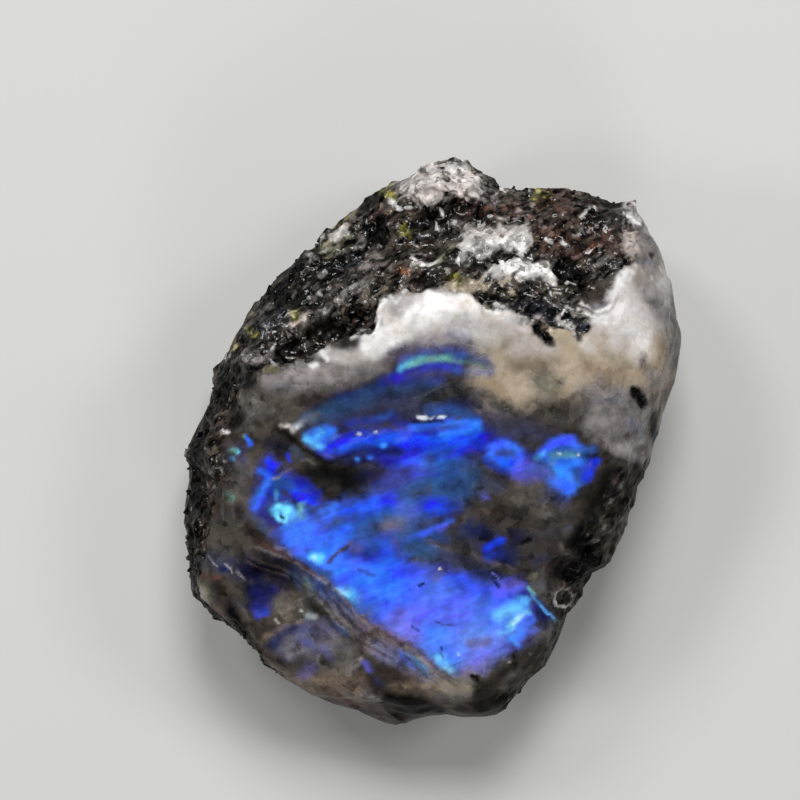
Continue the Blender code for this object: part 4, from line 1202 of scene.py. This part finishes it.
turned = place @ np.array(Matrix.Rotation(GRAIN_HEADING, 3, "Z"))
streaks = speckle(turned / np.array(STREAK), *STREAK_NOISE)
grit = speckle(place, *GRIT)
warped = place.copy()
for far, size, shift in WANDER:
    warped += far * drift(place, size, shift)
steep = smooth((STEEP_START - facing[:, 2]) / STEEP_START)
far, size, shift = WALL_WANDER
warped += (far * steep)[:, None] * drift(place, size, shift)
x, y = warped[:, 0], warped[:, 1]
mottles = [np.clip(MOTTLE_MEAN - MOTTLE_SWING * speckle(place, *mottle), MOTTLE_LEAST, 1.0)
           for mottle in MOTTLES]
soft_clouds = speckle(place, *SOFT_CLOUDS)
colour = np.tile(seen_colour("smoke"), (len(place), 1))
glow = np.zeros(len(place))
grain = np.full(len(place), FACE_GRAIN)

# Along the lip the stone has split in fibres, side by side and of many tints.
margin = laid(MARGIN_STROKES)
lip = on_stone(LIP_PATH)
chance = np.random.default_rng(FIBRE_SEED)
along = np.diff(lip, axis=0).sum(0)
across = np.array([along[1], -along[0]]) / np.hypot(*along)
for fibre in range(LIP_FIBRES):
    offset = across * chance.uniform(*LIP_WIDTH)
    first = chance.integers(0, len(lip) - 2)
    stretch = np.array(lip[first:first + 3])
    path = [tuple(spot + offset + chance.normal(0.0, FIBRE_WAVER, 2)) for spot in stretch]
    finish = chance.choice(LIP_TINTS)
    margin.append((finish, chance.uniform(*FIBRE_COVER), FIBRE_HALF_WIDTH, FIBRE_SOFTNESS, path))
layers = (  # the strokes, from the first laid on to the last, and how ragged their edges are
    (laid(GREY_STROKES), 0.4 * soft_clouds + 0.1 * grit),
    (laid(FLASH_STROKES), 0.4 * streaks + 0.15 * grit),
    (margin, 0.3 * soft_clouds + 0.25 * grit),
    (laid(CRUST_STROKES), 1.1 * grit),
)
for strokes, ragged in layers:
    for turn, (finish, cover, half_width, softness, path) in enumerate(strokes):
        share = cover * covered(x, y, half_width, softness, path, ragged)
        if softness > CRISP and finish not in UNMOTTLED:
            share *= mottles[turn % len(mottles)]
        colour += (seen_colour(finish) - colour) * share[:, None]
        glow += (GLOW.get(finish, 0.0) - glow) * share
for level, corners in CRUST_RINGS.values():
    depth = inside(x, y, on_stone(corners))
    grain = np.maximum(grain, level * smooth(0.5 + depth / CRUST_EDGE + CRUST_RAGGED * grit))

# The walls and the underside, which broke freely: schist over most of them and bare feldspar between.
WALL_START = 0.2  # a face that looks up by less than this begins to be wall
WALL_FADE = 0.3
WALL_PATCHES = (3.0, 3, 21.0)
WALL_CLOUDS = (1.1, 3, 33.0)
BARE_LEVEL = 0.12  # the noise of the patches leaves feldspar bare above this
BARE_CONTRAST = 3.0
BARE_RIM = 1.6  # radii at which a bare wall ends
BARE_RAGGED = 0.5
BARE_GRAIN = 0.15
MOSSY_SHARE = 0.4
PALE_SHARE = 0.35
walls = smooth((WALL_START - facing[:, 2]) / WALL_FADE)
patches = speckle(place, *WALL_PATCHES)
clouds = speckle(place, *WALL_CLOUDS)
bare = smooth(0.5 + BARE_CONTRAST * (patches - BARE_LEVEL))
for middle_x, middle_y, radius in BARE_WALLS:
    away = np.hypot(x - middle_x, y - middle_y) / radius
    bare = np.maximum(bare, smooth(BARE_RIM - away + BARE_RAGGED * patches))
schist = between("ink", "moss_black", smooth(MOSSY_SHARE + clouds))
feldspar = between("smoke", "pearl", smooth(PALE_SHARE + clouds))
broken = schist + (feldspar - schist) * bare[:, None]
colour += (broken - colour) * walls[:, None]
glow *= 1 - walls
grain += (1.0 - (1.0 - BARE_GRAIN) * bare - grain) * walls

# The strokes of relief, which come and go along their paths and fade out down the walls.
RELIEF_SWING = 0.8
RELIEF_RANGE = (0.3, 1.6)
raised = np.zeros(len(place))
for step, half_width, softness, path in laid(RELIEF_STROKES):
    raised += step * covered(x, y, half_width, softness, path)
raised *= (1 - walls) * np.clip(1.0 + RELIEF_SWING * clouds, *RELIEF_RANGE)
place += facing * raised[:, None]

paint = np.hstack([colour, np.ones((len(colour), 1))])
for name, kind, field, values in (("paint", "FLOAT_COLOR", "color", paint), ("glow", "FLOAT", "value", glow),
                                  ("grain", "FLOAT", "value", grain), ("walls", "FLOAT", "value", walls)):
    layer = skin.attributes.new(name, kind, "POINT")
    layer.data.foreach_set(field, values.astype(np.float32).ravel())
skin.vertices.foreach_set("co", (place * MM).astype(np.float32).ravel())
stone = bpy.data.objects.new("moonstone_stone", skin)
bpy.context.scene.collection.objects.link(stone)


class Wire:
    """A socket of a node tree. Sums of wires and numbers add the nodes that work them out."""

    def __init__(self, socket):
        self.socket = socket
        self.tree = socket.id_data
        self.is_vector = socket.type == "VECTOR"

    def math(self, operation, *others):
        wires = (self, *others)
        vectors = any(isinstance(w, Wire) and w.is_vector for w in wires)
        kind = "ShaderNodeVectorMath" if vectors else "ShaderNodeMath"
        return add(self.tree, kind, {"operation": operation}, dict(enumerate(wires)))

    def reflected(self, operation, other):
        kind = "ShaderNodeVectorMath" if self.is_vector else "ShaderNodeMath"
        return add(self.tree, kind, {"operation": operation}, {0: other, 1: self})

    def __add__(self, other):
        return self.math("ADD", other)

    def __sub__(self, other):
        return self.math("SUBTRACT", other)

    def __mul__(self, other):
        return self.math("MULTIPLY", other)

    def __truediv__(self, other):
        return self.math("DIVIDE", other)

    def __radd__(self, other):
        return self.reflected("ADD", other)

    def __rsub__(self, other):
        return self.reflected("SUBTRACT", other)

    def __rmul__(self, other):
        return self.reflected("MULTIPLY", other)

    def within(self, low, high):
        """0 at low, 1 at high, eased between them. Low may be the larger."""
        return add(self.tree, "ShaderNodeMapRange", {"interpolation_type": "SMOOTHSTEP"},
                   {0: self, 1: low, 2: high, 3: 0.0, 4: 1.0})


def add(tree, kind, settings=None, inputs=None, output=0):
    """Add a node: its settings first, then values or wires into its sockets. Gives one output as a wire."""
    node = tree.nodes.new(kind)
    for name, value in (settings or {}).items():
        if name == "stops":
            ramp = node.color_ramp
            while len(ramp.elements) < len(value):
                ramp.elements.new(0.5)
            for element, (at, tint) in zip(ramp.elements, value):
                element.position = at
                element.color = tint
        elif name == "interpolation":
            node.color_ramp.interpolation = value
        else:
            setattr(node, name, value)
    for key, value in (inputs or {}).items():
        socket = node.inputs[key]
        if isinstance(value, Wire):
            tree.links.new(value.socket, socket)
        elif hasattr(socket.default_value, "__len__") and not hasattr(value, "__len__"):
            socket.default_value = [value] * len(socket.default_value)
        else:
            socket.default_value = value
    return Wire(node.outputs[output])


def cloud(position, scale, detail, output=0, **more):
    """Soft noise. Output 1 is a colour for each place instead of a value."""
    return add(position.tree, "ShaderNodeTexNoise", {"noise_dimensions": "3D"},
               {"Vector": position, "Scale": scale, "Detail": detail, **more}, output)


def cell(position, scale, output=0):
    """Blocky grains: output 0 is the distance from a grain's middle, 1 its own colour, 2 its middle."""
    return add(position.tree, "ShaderNodeTexVoronoi",
               {"voronoi_dimensions": "3D", "feature": "F1", "distance": "EUCLIDEAN"},
               {"Vector": position, "Scale": scale}, output)


def round_cell(position, scale, smoothness):
    """The distance from the middle of grains that run softly into each other."""
    return add(position.tree, "ShaderNodeTexVoronoi",
               {"voronoi_dimensions": "3D", "feature": "SMOOTH_F1", "distance": "EUCLIDEAN"},
               {"Vector": position, "Scale": scale, "Smoothness": smoothness})


def blend(factor, below, above, way="MIX"):
    """Mix two colours; either may be a wire or a plain colour."""
    wire = next(w for w in (factor, below, above) if isinstance(w, Wire))
    return add(wire.tree, "ShaderNodeMix", {"data_type": "RGBA", "blend_type": way},
               {0: factor, 6: below, 7: above}, 2)


def grown(source, tree, inputs):
    """The plain mesh that a tree of geometry nodes makes of an object, with the tree's named inputs set."""
    modifier = source.modifiers.new(tree.name, "NODES")
    modifier.node_group = tree
    for item in tree.interface.items_tree:
        if item.in_out == "INPUT" and item.name in inputs:
            modifier[item.identifier] = inputs[item.name]
    mesh = evaluated(source)
    source.modifiers.remove(modifier)
    return mesh


def new_tree(name, inputs):
    """An empty tree of geometry nodes with named inputs. Gives the tree and its inputs as wires."""
    tree = bpy.data.node_groups.new(name, "GeometryNodeTree")
    tree.interface.new_socket("Geometry", in_out="INPUT", socket_type="NodeSocketGeometry")
    for label, kind in inputs.items():
        tree.interface.new_socket(label, in_out="INPUT", socket_type=kind)
    tree.interface.new_socket("Geometry", in_out="OUTPUT", socket_type="NodeSocketGeometry")
    start = tree.nodes.new("NodeGroupInput")
    return tree, {label: Wire(start.outputs[label]) for label in ("Geometry", *inputs)}


def close_tree(tree, geometry, material):
    """Every tree ends in realized instances and a material."""
    real = add(tree, "GeometryNodeRealizeInstances", None, {0: geometry})
    dressed = add(tree, "GeometryNodeSetMaterial", None, {"Geometry": real, "Material": material})
    end = tree.nodes.new("NodeGroupOutput")
    tree.links.new(dressed.socket, end.inputs[0])


def along_grain(position, streak_size, heading=GRAIN_HEADING):
    """Coordinates that run one to a streak, along the heading of the flash or another."""
    level = add(position.tree, "ShaderNodeVectorRotate", {"rotation_type": "Z_AXIS"},
                {"Vector": position, "Angle": -heading})
    return level / streak_size


def attribute(tree, name, kind="FLOAT"):
    """A layer of the mesh, in a tree of geometry nodes."""
    return add(tree, "GeometryNodeInputNamedAttribute", {"data_type": kind}, {"Name": name})


# Its relief: lumps and grains on the crust, soft streaks on the ground face, flat breaks on the walls.
STONE_RELIEF = {
    "Lump Size": 1.3, "Lump Height": 0.7, "Grain Size": 0.6, "Grain Height": 0.3, "Break Size": 2.4,
    "Break Height": 0.55, "Streak Height": 0.035,
}
LUMP_LEVEL = 0.62  # where the noise has these values, the surface keeps its level
BIG_GRAIN_LEVEL = 0.4
SMALL_GRAIN_LEVEL = 0.35
BREAK_LEVEL = 0.35
STREAK_LEVEL = 0.5
SMALL_GRAINS = (2.1, 0.4)  # how many times finer than the big ones, and what share of their height
GRAIN_SMOOTHNESS = 0.6

tree, given = new_tree("stone relief", {
    **dict.fromkeys(STONE_RELIEF, "NodeSocketFloat"), "Material": "NodeSocketMaterial",
})
here = add(tree, "GeometryNodeInputPosition") * (1 / MM)
normal = add(tree, "GeometryNodeInputNormal")
graininess = attribute(tree, "grain")
wallness = attribute(tree, "walls")
finer, share = SMALL_GRAINS
lumps = cloud(here / given["Lump Size"], 1.0, 3.0)
big_grains = round_cell(here / given["Grain Size"], 1.0, GRAIN_SMOOTHNESS)
small_grains = cell(here / given["Grain Size"], finer)
crust_height = (lumps - LUMP_LEVEL) * given["Lump Height"]
crust_height = crust_height + (BIG_GRAIN_LEVEL - big_grains) * given["Grain Height"]
crust_height = crust_height + (SMALL_GRAIN_LEVEL - small_grains) * given["Grain Height"] * share
breaks = here / given["Break Size"]
from_middle = breaks - cell(breaks, 1.0, 2)
lean = cell(breaks, 1.0, 1) - 0.5
tilt = add(tree, "ShaderNodeVectorMath", {"operation": "DOT_PRODUCT"}, {0: from_middle, 1: lean}, 1)
break_height = (tilt - BREAK_LEVEL) * given["Break Height"]
face_height = (cloud(along_grain(here, STREAK), 1.0, 2.0) - STREAK_LEVEL) * given["Streak Height"]
height = crust_height * graininess + break_height * wallness * (1 - graininess) + face_height * (1 - wallness)
moved = add(tree, "GeometryNodeSetPosition", None,
            {"Geometry": given["Geometry"], "Offset": normal * height * MM})
close_tree(tree, moved, given["Material"])

# Its surface. Paint is what the strokes laid on; grains of the crust each take a tint of their own, and the
# flash lies in fine leaves that shift between blues.
MINERALS = (  # each from this share of the grains upwards
    (0.0, "ink"), (0.4, "pitch"), (0.58, "moss_black"), (0.68, "umber"), (0.8, "rust"), (0.84, "smoke"),
    (0.9, "ochre"), (0.93, "ash"), (0.965, "pearl"),
)
MINERAL_SIZE = 0.24
GRANULE_SIZE = 0.46
FINE_GRAIN_SIZE = 0.2
FINE_GRAIN_SMOOTHNESS = 0.8
GRAINY = (0.25, 0.6)  # how grainy the mesh is where the crust's finish begins, and where it is full
PALE = (0.12, 0.42)  # how bright paint is where it begins to count as pale, and where it fully does
TANGLE_REACH = 0.3  # how far the tangle bends the edges of the grains
# Each noise: how many lumps to a millimetre, and its detail.
TANGLE = (6.0, 2.0)
PATCHES = (1.9, 5.0)
FINE_CLOUDS = (8.0, 3.0)
STAINS = (0.8, 8.0)
STAIN_ROUGHNESS = 0.68
# Length, width and depth of a leaf of the flash, a band of its hue, and a light or dark wisp of the crust.
LEAF = (1.3, 0.16, 0.5)
BAND = (1.8, 0.7, 1.0)
WISP = (0.6, 0.26, 0.4)
CRUST_HEADING = math.radians(38)  # the crust's wisps lie this way
# What the paint is multiplied by where it is stained, frosted or bluish.
WARM_STAIN = (0.72, 0.62, 0.5, 1.0)
FROST = (1.2, 1.2, 1.22, 1.0)
COLD_SHEEN = (0.78, 0.9, 1.3, 1.0)
UNLIT = (0.0, 0.0, 0.0, 1.0)
# the glowing finishes shine by emission this strongly, a painted glow: the stone itself gives off no light
FLASH_STRENGTH = 0.22
SPECULAR_LEVEL = 0.03
COAT_ROUGHNESS = 0.1
FELDSPAR_IOR = 1.52


def weave(shade, is_grain):
    """What the finishes are mixed from: the mesh's painted layers and the patterns of the stone."""
    def painted(name, output=2):
        return add(shade, "ShaderNodeAttribute", {"attribute_name": name}, None, output)

    mm = add(shade, "ShaderNodeTexCoord", None, None, 3) * (1 / MM)
    paint = painted("paint", 0)
    tangle = cloud(mm, *TANGLE, 1)
    tangled = add(shade, "ShaderNodeVectorMath", {"operation": "MULTIPLY_ADD"},
                  {0: tangle, 1: TANGLE_REACH, 2: mm})
    mineral = cell(tangled, 1 / MINERAL_SIZE, 1)
    brightness = add(shade, "ShaderNodeRGBToBW", None, {0: paint})
    graininess = painted("grain")
    return SimpleNamespace(
        mm=mm, paint=paint, graininess=graininess, glowing=painted("glow"), wallness=painted("walls"),
        grainy=graininess.within(*GRAINY), brightness=brightness, pale=brightness.within(*PALE),
        mineral=add(shade, "ShaderNodeSeparateColor", None, {0: mineral}),
        tint=painted("shade") if is_grain else add(shade, "ShaderNodeSeparateColor", None, {0: mineral}, 1),
        granules=add(shade, "ShaderNodeSeparateColor", None, {0: cell(tangled, 1 / GRANULE_SIZE, 1)}),
        patchy=cloud(mm, *PATCHES), fine=cloud(mm, *FINE_CLOUDS),
        stain=cloud(mm, *STAINS, Roughness=STAIN_ROUGHNESS),
        leaves=cloud(along_grain(mm, LEAF), 1.0, 5.0), bands=cloud(along_grain(mm, BAND), 1.0, 3.0),
        wisps=cloud(along_grain(mm, WISP, CRUST_HEADING), 1.0, 4.0),
    )


def crust_colour(shade, look):
    """Every grain of the crust is lighter or darker than the paint, or a mineral of its own."""
    pale = look.pale
    stops = [(at, (*seen_colour(label), 1.0)) for at, label in MINERALS]
    mineral = add(shade, "ShaderNodeValToRGB",
                  {"interpolation": "CONSTANT", "stops": stops}, {0: look.mineral})
    lightness = (look.tint - 0.5) * (1.3 - 0.8 * pale) + (0.9 + 0.16 * pale)
    lit_paint = blend(1.0, look.paint, lightness, "MULTIPLY")
    dark_fleck = look.mineral.within(0.86, 0.9) * pale * 0.75
    not_black = look.brightness.within(0.004, 0.026)
    mixed = blend(0.06 + 0.22 * not_black - 0.28 * pale + dark_fleck, lit_paint, mineral)
    contrast = look.wisps.within(0.36, 0.64) * (1.8 - 1.3 * pale) + (0.06 + 0.58 * pale)
    return blend(1.0, mixed, contrast, "MULTIPLY")


def feldspar_colour(look):
    """Milky feldspar is only clouded, stained and frosted, and smoky feldspar is bluish in places."""
    pale = look.pale
    clouds = (look.patchy - 0.5) * (1.7 - 1.2 * pale) + (look.fine - 0.5) * (0.45 - 0.25 * pale) + 1.08
    clouds = clouds + (look.granules - 0.5) * (0.75 - 0.6 * pale) + (look.tint - 0.5) * (0.3 - 0.26 * pale)
    clouded = blend(1.0, look.paint, clouds, "MULTIPLY")
    stained = blend(1.0, clouded, WARM_STAIN, "MULTIPLY")
    clouded = blend(look.stain.within(0.5, 0.64) * pale * 0.6, clouded, stained)
    frosted = blend(1.0, clouded, FROST, "MULTIPLY")
    clouded = blend(look.stain.within(0.46, 0.38) * pale, clouded, frosted)
    tinted = blend(1.0, clouded, COLD_SHEEN, "MULTIPLY")
    return blend(look.bands.within(0.48, 0.66) * (0.5 - 0.5 * pale) * (1 - look.wallness), clouded, tinted)


def flash_colour(shade, look):
    """The flash is streaked, veiled and shifted in hue."""
    hue = 0.5 + ((look.bands - 0.5) * 0.07 + (look.fine - 0.5) * 0.03) * look.glowing
    shifted = add(shade, "ShaderNodeHueSaturation", None,
                  {"Hue": hue, "Saturation": 1.0, "Value": 1.0, "Fac": 1.0, "Color": look.paint})
    veil = (look.leaves * 0.3 + look.patchy * 0.7).within(0.36, 0.62) * 0.42 + 0.79
    return blend(1.0, shifted, veil * (look.fine * 0.6 + 0.72), "MULTIPLY")


def bumpiness(shade, look):
    """Fine grain on the crust, and on the feldspar no more than the grinding left."""
    fine_grain = round_cell(look.mm, 1 / FINE_GRAIN_SIZE, FINE_GRAIN_SMOOTHNESS)
    height = fine_grain * look.grainy * -0.04 + look.patchy * (0.02 + look.grainy * 0.02)
    height = height + look.fine * 0.005 + look.leaves * 0.006
    return add(shade, "ShaderNodeBump", None, {"Strength": 1.0, "Distance": MM, "Height": height})


def gloss(shade, look, bump):
    """Some grains of the crust shine, and the feldspar only a little, more where it turns away."""
    edge_on = add(shade, "ShaderNodeLayerWeight", None, {"Blend": 0.5, "Normal": bump}, 1)
    turned_away = edge_on.within(0.05, 0.5)
    not_dark = look.brightness.within(0.0, 0.08)
    shiny_grains = look.graininess.within(0.5, 0.95) * (look.tint * 0.85 + 0.12) * (1 - 0.4 * look.pale)
    coat = (0.05 + not_dark * 0.08 + shiny_grains) * (1 - turned_away * 0.95)
    return coat + turned_away * not_dark * (1 - look.grainy) * (1 - look.wallness) * 0.3


def surface(name, is_grain):
    """The stone's own surface, or that of the loose grains that are let into it."""
    material = bpy.data.materials.new(name)
    material.use_nodes = True
    shade = material.node_tree
    shader = shade.nodes["Principled BSDF"]
    look = weave(shade, is_grain)
    face_colour = blend(look.glowing.within(0.1, 0.6), feldspar_colour(look), flash_colour(shade, look))
    bump = bumpiness(shade, look)
    for socket, wire in (
        ("Base Color", blend(look.grainy, face_colour, crust_colour(shade, look))),
        ("Roughness", 0.2 + look.fine * 0.14 + look.grainy * (look.tint * 0.3 - 0.1) + look.wallness * 0.25),
        ("Emission Color", blend(look.glowing, UNLIT, face_colour)),
        ("Normal", bump),
        ("Coat Weight", gloss(shade, look, bump)),
    ):
        shade.links.new(wire.socket, shader.inputs[socket])
    shader.inputs["Emission Strength"].default_value = FLASH_STRENGTH
    shader.inputs["Specular IOR Level"].default_value = SPECULAR_LEVEL
    shader.inputs["Coat Roughness"].default_value = COAT_ROUGHNESS
    shader.inputs["IOR"].default_value = FELDSPAR_IOR
    return material


def kept_inside(mesh):
    """Bring what stands outside the solid's own box back onto it."""
    low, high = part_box("moonstone")
    mesh.vertices.foreach_set("co", np.clip(read(mesh.vertices, "co"), low, high).ravel())


stone.data = grown(stone, tree, {**STONE_RELIEF, "Material": surface("moonstone", False)})
kept_inside(stone.data)
stone.data.shade_smooth()
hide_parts("moonstone")
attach(stone, "root")

# ----------------------------------------------------------------------------------------------------------
# Grains of the crust that stand proud of it: black hornblende and brown mica where it is dark, and white
# feldspar where it is pale. They are blocky splinters, more than half sunk in it and turned every way.
# How many to a square millimetre, smallest and largest half-width, least and most brightness under them.
GRAINS = {
    "schist_grains": (3.0, 0.1, 0.3, -0.05, 0.22),
    "pale_grains": (3.0, 0.07, 0.16, 0.2, 0.9),
}
SINK = 0.4  # how deep each is let in, as a share of its half-width
LEAST_GRAIN = 0.55  # how grainy the crust must be for them
FULL_GRAIN = 0.9  # and how grainy for all of them
BRIGHTNESS_FADE = 0.05
BRIGHTNESS_WEIGHTS = (0.3, 0.6, 0.1)
WALL_LACK = 0.88  # the share of them that the walls do without
SPLINTER_HALVES = (1.0, 0.65, 0.4)  # half its length, width and thickness
SPLINTER_BEVEL = 0.32
SPLINTER_WARP = (0.36, 0.9)  # how far its corners stray, and the noise's scale
PER_SQUARE_METRE = 1 / MM ** 2

warp, warp_scale = SPLINTER_WARP
splinter_mesh = bpy.data.meshes.new("splinter")
bm = bmesh.new()
bmesh.ops.create_cube(bm, size=2.0)
bmesh.ops.bevel(bm, geom=bm.edges[:], offset=SPLINTER_BEVEL, segments=1, affect="EDGES", clamp_overlap=True)
for vertex in bm.verts:
    vertex.co = vertex.co * Vector(SPLINTER_HALVES) * MM
    vertex.co += noise.noise_vector(vertex.co / MM * warp_scale) * warp * MM
bm.to_mesh(splinter_mesh)
bm.free()
splinter = bpy.data.objects.new("splinter", splinter_mesh)
bpy.context.scene.collection.objects.link(splinter)


def drawn(tree, seed, kind="FLOAT", low=0.0, high=1.0):
    """A value drawn for each grain."""
    first, output = (2, 1) if kind == "FLOAT" else (0, 0)
    return add(tree, "FunctionNodeRandomValue", {"data_type": kind},
               {first: low, first + 1: high, "Seed": seed}, output)


tree, given = new_tree("crust grains", {
    "Splinter": "NodeSocketObject", "Density": "NodeSocketFloat", "Smallest": "NodeSocketFloat",
    "Largest": "NodeSocketFloat", "Dimmest": "NodeSocketFloat", "Brightest": "NodeSocketFloat",
    "Least Grain": "NodeSocketFloat", "Seed": "NodeSocketInt", "Material": "NodeSocketMaterial",
})
brightness = add(tree, "ShaderNodeVectorMath", {"operation": "DOT_PRODUCT"},
                 {0: attribute(tree, "paint", "FLOAT_COLOR"), 1: BRIGHTNESS_WEIGHTS}, 1)
bright_enough = brightness.within(given["Dimmest"], given["Dimmest"] + BRIGHTNESS_FADE)
dim_enough = brightness.within(given["Brightest"], given["Brightest"] - BRIGHTNESS_FADE)
density = given["Density"] * bright_enough * dim_enough * PER_SQUARE_METRE
density = density * (1 - attribute(tree, "walls") * WALL_LACK)
density = density * attribute(tree, "grain").within(given["Least Grain"], FULL_GRAIN)
points = add(tree, "GeometryNodeDistributePointsOnFaces", None,
             {"Mesh": given["Geometry"], "Density": density, "Seed": given["Seed"]})
outwards = Wire(points.socket.node.outputs["Normal"])
size = drawn(tree, given["Seed"] + 1)
size = given["Smallest"] + (given["Largest"] - given["Smallest"]) * size * size
turn = drawn(tree, given["Seed"] + 2, "FLOAT_VECTOR", (0.0, 0.0, 0.0), (math.tau, math.tau, math.tau))
points = add(tree, "GeometryNodeSetPosition", None,
             {"Geometry": points, "Offset": outwards * size * (-SINK * MM)})
splinter_shape = add(tree, "GeometryNodeObjectInfo", None, {"Object": given["Splinter"]}, 4)
scattered = add(tree, "GeometryNodeInstanceOnPoints", None,
                {"Points": points, "Instance": splinter_shape, "Rotation": turn, "Scale": size})
shaded = add(tree, "GeometryNodeStoreNamedAttribute", {"data_type": "FLOAT", "domain": "INSTANCE"},
             {"Geometry": scattered, "Name": "shade", "Value": drawn(tree, given["Seed"] + 3)})
close_tree(tree, shaded, given["Material"])

grain_finish = surface("crust grain", True)
for order, (name, (many, smallest, largest, dimmest, brightest)) in enumerate(GRAINS.items()):
    mesh = grown(stone, tree, {
        "Splinter": splinter, "Density": many, "Smallest": smallest, "Largest": largest, "Dimmest": dimmest,
        "Brightest": brightest, "Least Grain": LEAST_GRAIN, "Seed": 10 * order, "Material": grain_finish,
    })
    kept_inside(mesh)
    grains = bpy.data.objects.new(f"moonstone_{name}", mesh)
    bpy.context.scene.collection.objects.link(grains)
    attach(grains, "root")
bpy.data.objects.remove(splinter)
